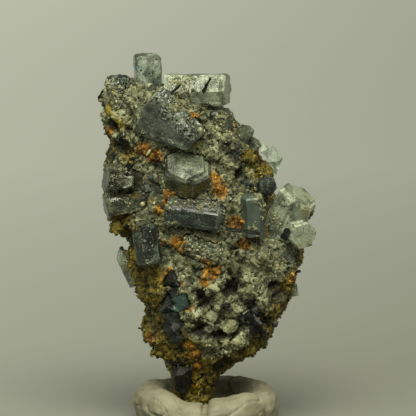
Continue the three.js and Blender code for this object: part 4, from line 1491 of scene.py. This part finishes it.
# %% Lapping grains and glitter
crusted_schorl = [schorl_meshes[node] for node in CRUSTED_SCHORL]
crystal_skin_mesh = joined([*beryl_meshes.values(), *crusted_schorl])
store_patches(crystal_skin_mesh, flat_weights)
lap_skin = Skin(crystal_skin_mesh, near_rock)
lap_count = count_for(lap_skin, LAP_PER_MM2)
lap_mesh = scattered("lapping", crumb_shapes, lap_skin, lap_count, (0.35, 1.3), 0.1)
finished("lapping_grains", lap_mesh, crumb_material)
open_skin = Skin(crystal_skin_mesh, sparkling)
glitter_count = count_for(open_skin, GLITTER_PER_MM2)
glitter_mesh = scattered("glitter", [plate_shape()], open_skin, glitter_count, (0.15, 0.42), -0.1, 0.5)
finished("mica_glitter", glitter_mesh, crumb_material)

# %% [markdown]
# A few single grains stand out in the photograph: a long silvery one in the rust under the slanting
# prism, a round white one below it, black knobs on the thin blade at the left edge and on the right
# rim, a black splinter by the foot, and a small clear crystal on the right rim. Each starts as a
# ball or a six-sided prism that is squashed and turned, and it is set into the face that carries
# it. On the rim the front view is no help, so a depth is given and the nearest face is taken.

# %% Single grains
PALE_SHADE = 1.1
SINGLE_GRAINS = {
    # The silvery grain's pale colour is partly a painted reflection, the glint of a mica cleavage.
    "silvery_grain": {"place": (-14.4, 69.6), "half_sizes": (0.35, 0.35, 1.0), "turn": 35},
    "round_grain": {"place": (-15.9, 56.8), "half_sizes": (0.62, 0.5, 0.62)},
    "black_knob": {"place": (-21.2, 44.3), "depth": -3.5, "half_sizes": (0.55, 0.5, 0.65),
                   "slot": "schorl", "finish": "schorl", "carrier": crystal_tree},
    "rim_knob": {"place": (23.4, 43.6), "depth": -1, "half_sizes": (0.8, 0.7, 0.65),
                 "slot": "schorl", "finish": "schorl"},
    "low_knob": {"place": (17.4, 26.3), "depth": -10, "half_sizes": (0.8, 0.8, 0.9),
                 "slot": "schorl", "finish": "schorl"},
    "foot_splinter": {"place": (5.8, 16.2), "half_sizes": (0.28, 0.28, 1.0), "turn": 15,
                      "slot": "schorl", "finish": "schorl"},
    "rim_crystal": {"place": (22.6, 33.4), "depth": -1, "half_sizes": (1.6, 0.8, 1.5), "turn": -8,
                    "slot": "aquamarine", "finish": "beryl_frosted", "sides": 6},
}


def grain_shape(sides):
    """A ball of radius 1, or a prism of that many sides and half height 1."""
    bm = bmesh.new()
    if sides:
        bmesh.ops.create_cone(bm, cap_ends=True, segments=sides, radius1=1.0, radius2=0.9, depth=2.0)
        return bm
    bmesh.ops.create_icosphere(bm, subdivisions=3, radius=1.0)
    for vertex in bm.verts:
        vertex.co *= 1 + 0.12 * noise.noise(vertex.co * 1.7)
    return bm


def grain_seat(place, depth, carrier):
    """Where a grain sits: the face that the front view shows there, or the one nearest to a depth."""
    if depth is None:
        return min((on_front(*place, tree) for tree in (rock_tree, crystal_tree)), key=lambda hit: hit.y)
    return carrier.find_nearest(Vector((place[0], depth, place[1])) * MM)[0]


def single_grain(name, place, half_sizes, turn=0, slot="matrix", finish="crumbs", depth=None,
                 carrier=rock_tree, sides=0):
    """One squashed grain, part sunk in the face that carries it. On the rim its depth is given."""
    surface = grain_seat(place, depth, carrier)
    bm = grain_shape(sides)
    bmesh.ops.scale(bm, vec=[size * MM for size in half_sizes], verts=bm.verts)
    spin = Matrix.Rotation(math.radians(turn), 3, "Y")
    bmesh.ops.rotate(bm, matrix=spin, verts=bm.verts)
    bmesh.ops.translate(bm, vec=surface, verts=bm.verts)
    mesh = bpy.data.meshes.new(name)
    bm.to_mesh(mesh)
    bm.free()
    store(mesh, "shade", np.full(len(mesh.vertices), PALE_SHADE))
    store(mesh, "own", points_of(mesh) / MM)
    if not sides:
        mesh.shade_smooth()
    finished(name, mesh, bpy.data.materials[finish])


for name, facts in SINGLE_GRAINS.items():
    single_grain(name, **facts)

# %% [markdown]
# The putty is a strand rolled by hand, bent into a ring and pinched together at the front. Its CAD
# solid is remeshed and then sculpted: soft dents from fingers, the fold where the two ends meet,
# wrinkles and small open pores. The hole that the rock stands in is left as it is.

# %% Putty shape
PUTTY_VOXEL = 0.45 * MM
PORE_SPACING = 1.9
# Angles round the ring in radians: the fold, the bulge beside it and the dent left of it.
FOLD_ANGLE = -1.60
BULGE_ANGLE = -1.44
DENT_ANGLE = -1.95
# The middle and the radius, in millimetres, of the hole that the rock stands in.
ROCK_PRINT = (-3.0, 7.0)


def hump(around, middle, width):
    """A soft hump of height 1 round the ring, at that angle and of that width."""
    return math.exp(-(((around - middle) / width) ** 2))


def putty_height(x, y, z):
    """How far, in millimetres, the putty's skin stands out at a place given in millimetres."""
    place = Vector((x, y, z))
    around = math.atan2(y, x)
    dents = 0.9 * noise.noise(place / 6.5) + 0.28 * noise.noise(place / 2.0)
    wrinkle = abs(noise.noise(Vector((x / 1.3, y / 1.3, z * 1.2)) / 5.0 + Vector((9, 4, 2))))
    dents -= 0.75 * max(0.0, 1 - wrinkle / 0.05)
    fold = -1.3 * hump(around, FOLD_ANGLE, 0.045) * (1 if z > 2 else z / 2)
    bulge = 0.5 * hump(around, BULGE_ANGLE, 0.10)
    pores = -0.35 * max(0.0, 1 - noise.voronoi(place / PORE_SPACING)[0][0] / 0.20)
    return dents + fold + bulge + pores


def pressed_down(x, y, z):
    """How far, in millimetres, the rim is pressed down left of the fold."""
    return 1.5 * hump(math.atan2(y, x), DENT_ANGLE, 0.33) * max(0.0, (z - 3) / 6)


def make_putty_mesh():
    """The putty ring, remeshed and sculpted above its flat underside and round the rock's print."""
    mesh = remeshed("putty_ring", PUTTY_VOXEL)
    points, normals = points_of(mesh), normals_of(mesh)
    for i, (x, y, z) in enumerate(points / MM):
        free = min(1.0, max(0.0, z / 1.2))
        if math.hypot(x - ROCK_PRINT[0], y) >= ROCK_PRINT[1]:
            points[i] += normals[i] * putty_height(x, y, z) * free * MM
            points[i][2] -= pressed_down(x, y, z) * MM
    points[:, 2] = np.maximum(points[:, 2], 0)
    move_points(mesh, points)
    mesh.shade_smooth()
    return mesh


putty_mesh = make_putty_mesh()
print("putty:", len(putty_mesh.polygons), "faces")

# %% [markdown]
# The putty's finish is matte and slightly translucent, in a warm pale grey with broad mottling, and
# a little dirt has settled in its pores.

# %% Putty finish
PUTTY_DEEP = (0.176, 0.161, 0.109)
PUTTY_PALE = (0.248, 0.229, 0.164)
PUTTY_DIRT = (0.22, 0.17, 0.11)


def make_putty_material():
    """Warm pale matte putty with faint mottling and dirty pores."""
    material, tree, shader = new_material("putty")
    place = millimetres(tree)
    colour = layer(tree, PUTTY_DEEP, PUTTY_PALE, grain(tree, place, 4.0, 4.0), 0.3, 0.7)
    pore = cells(tree, place, PORE_SPACING, "Distance")
    fill(tree, shader, {
        "Base Color": layer(tree, colour, PUTTY_DIRT, pore, 0.14, 0.02, 0.7),
        "Roughness": 0.62,
        "Subsurface Weight": 0.15,
        "Subsurface Radius": (0.8 * MM, 0.6 * MM, 0.4 * MM),
        "Normal": relief(tree, grain(tree, place, 0.5, 3.0, 0.7), 0.10),
    })
    return material


finished("putty", putty_mesh, make_putty_material(), ["putty_ring"])
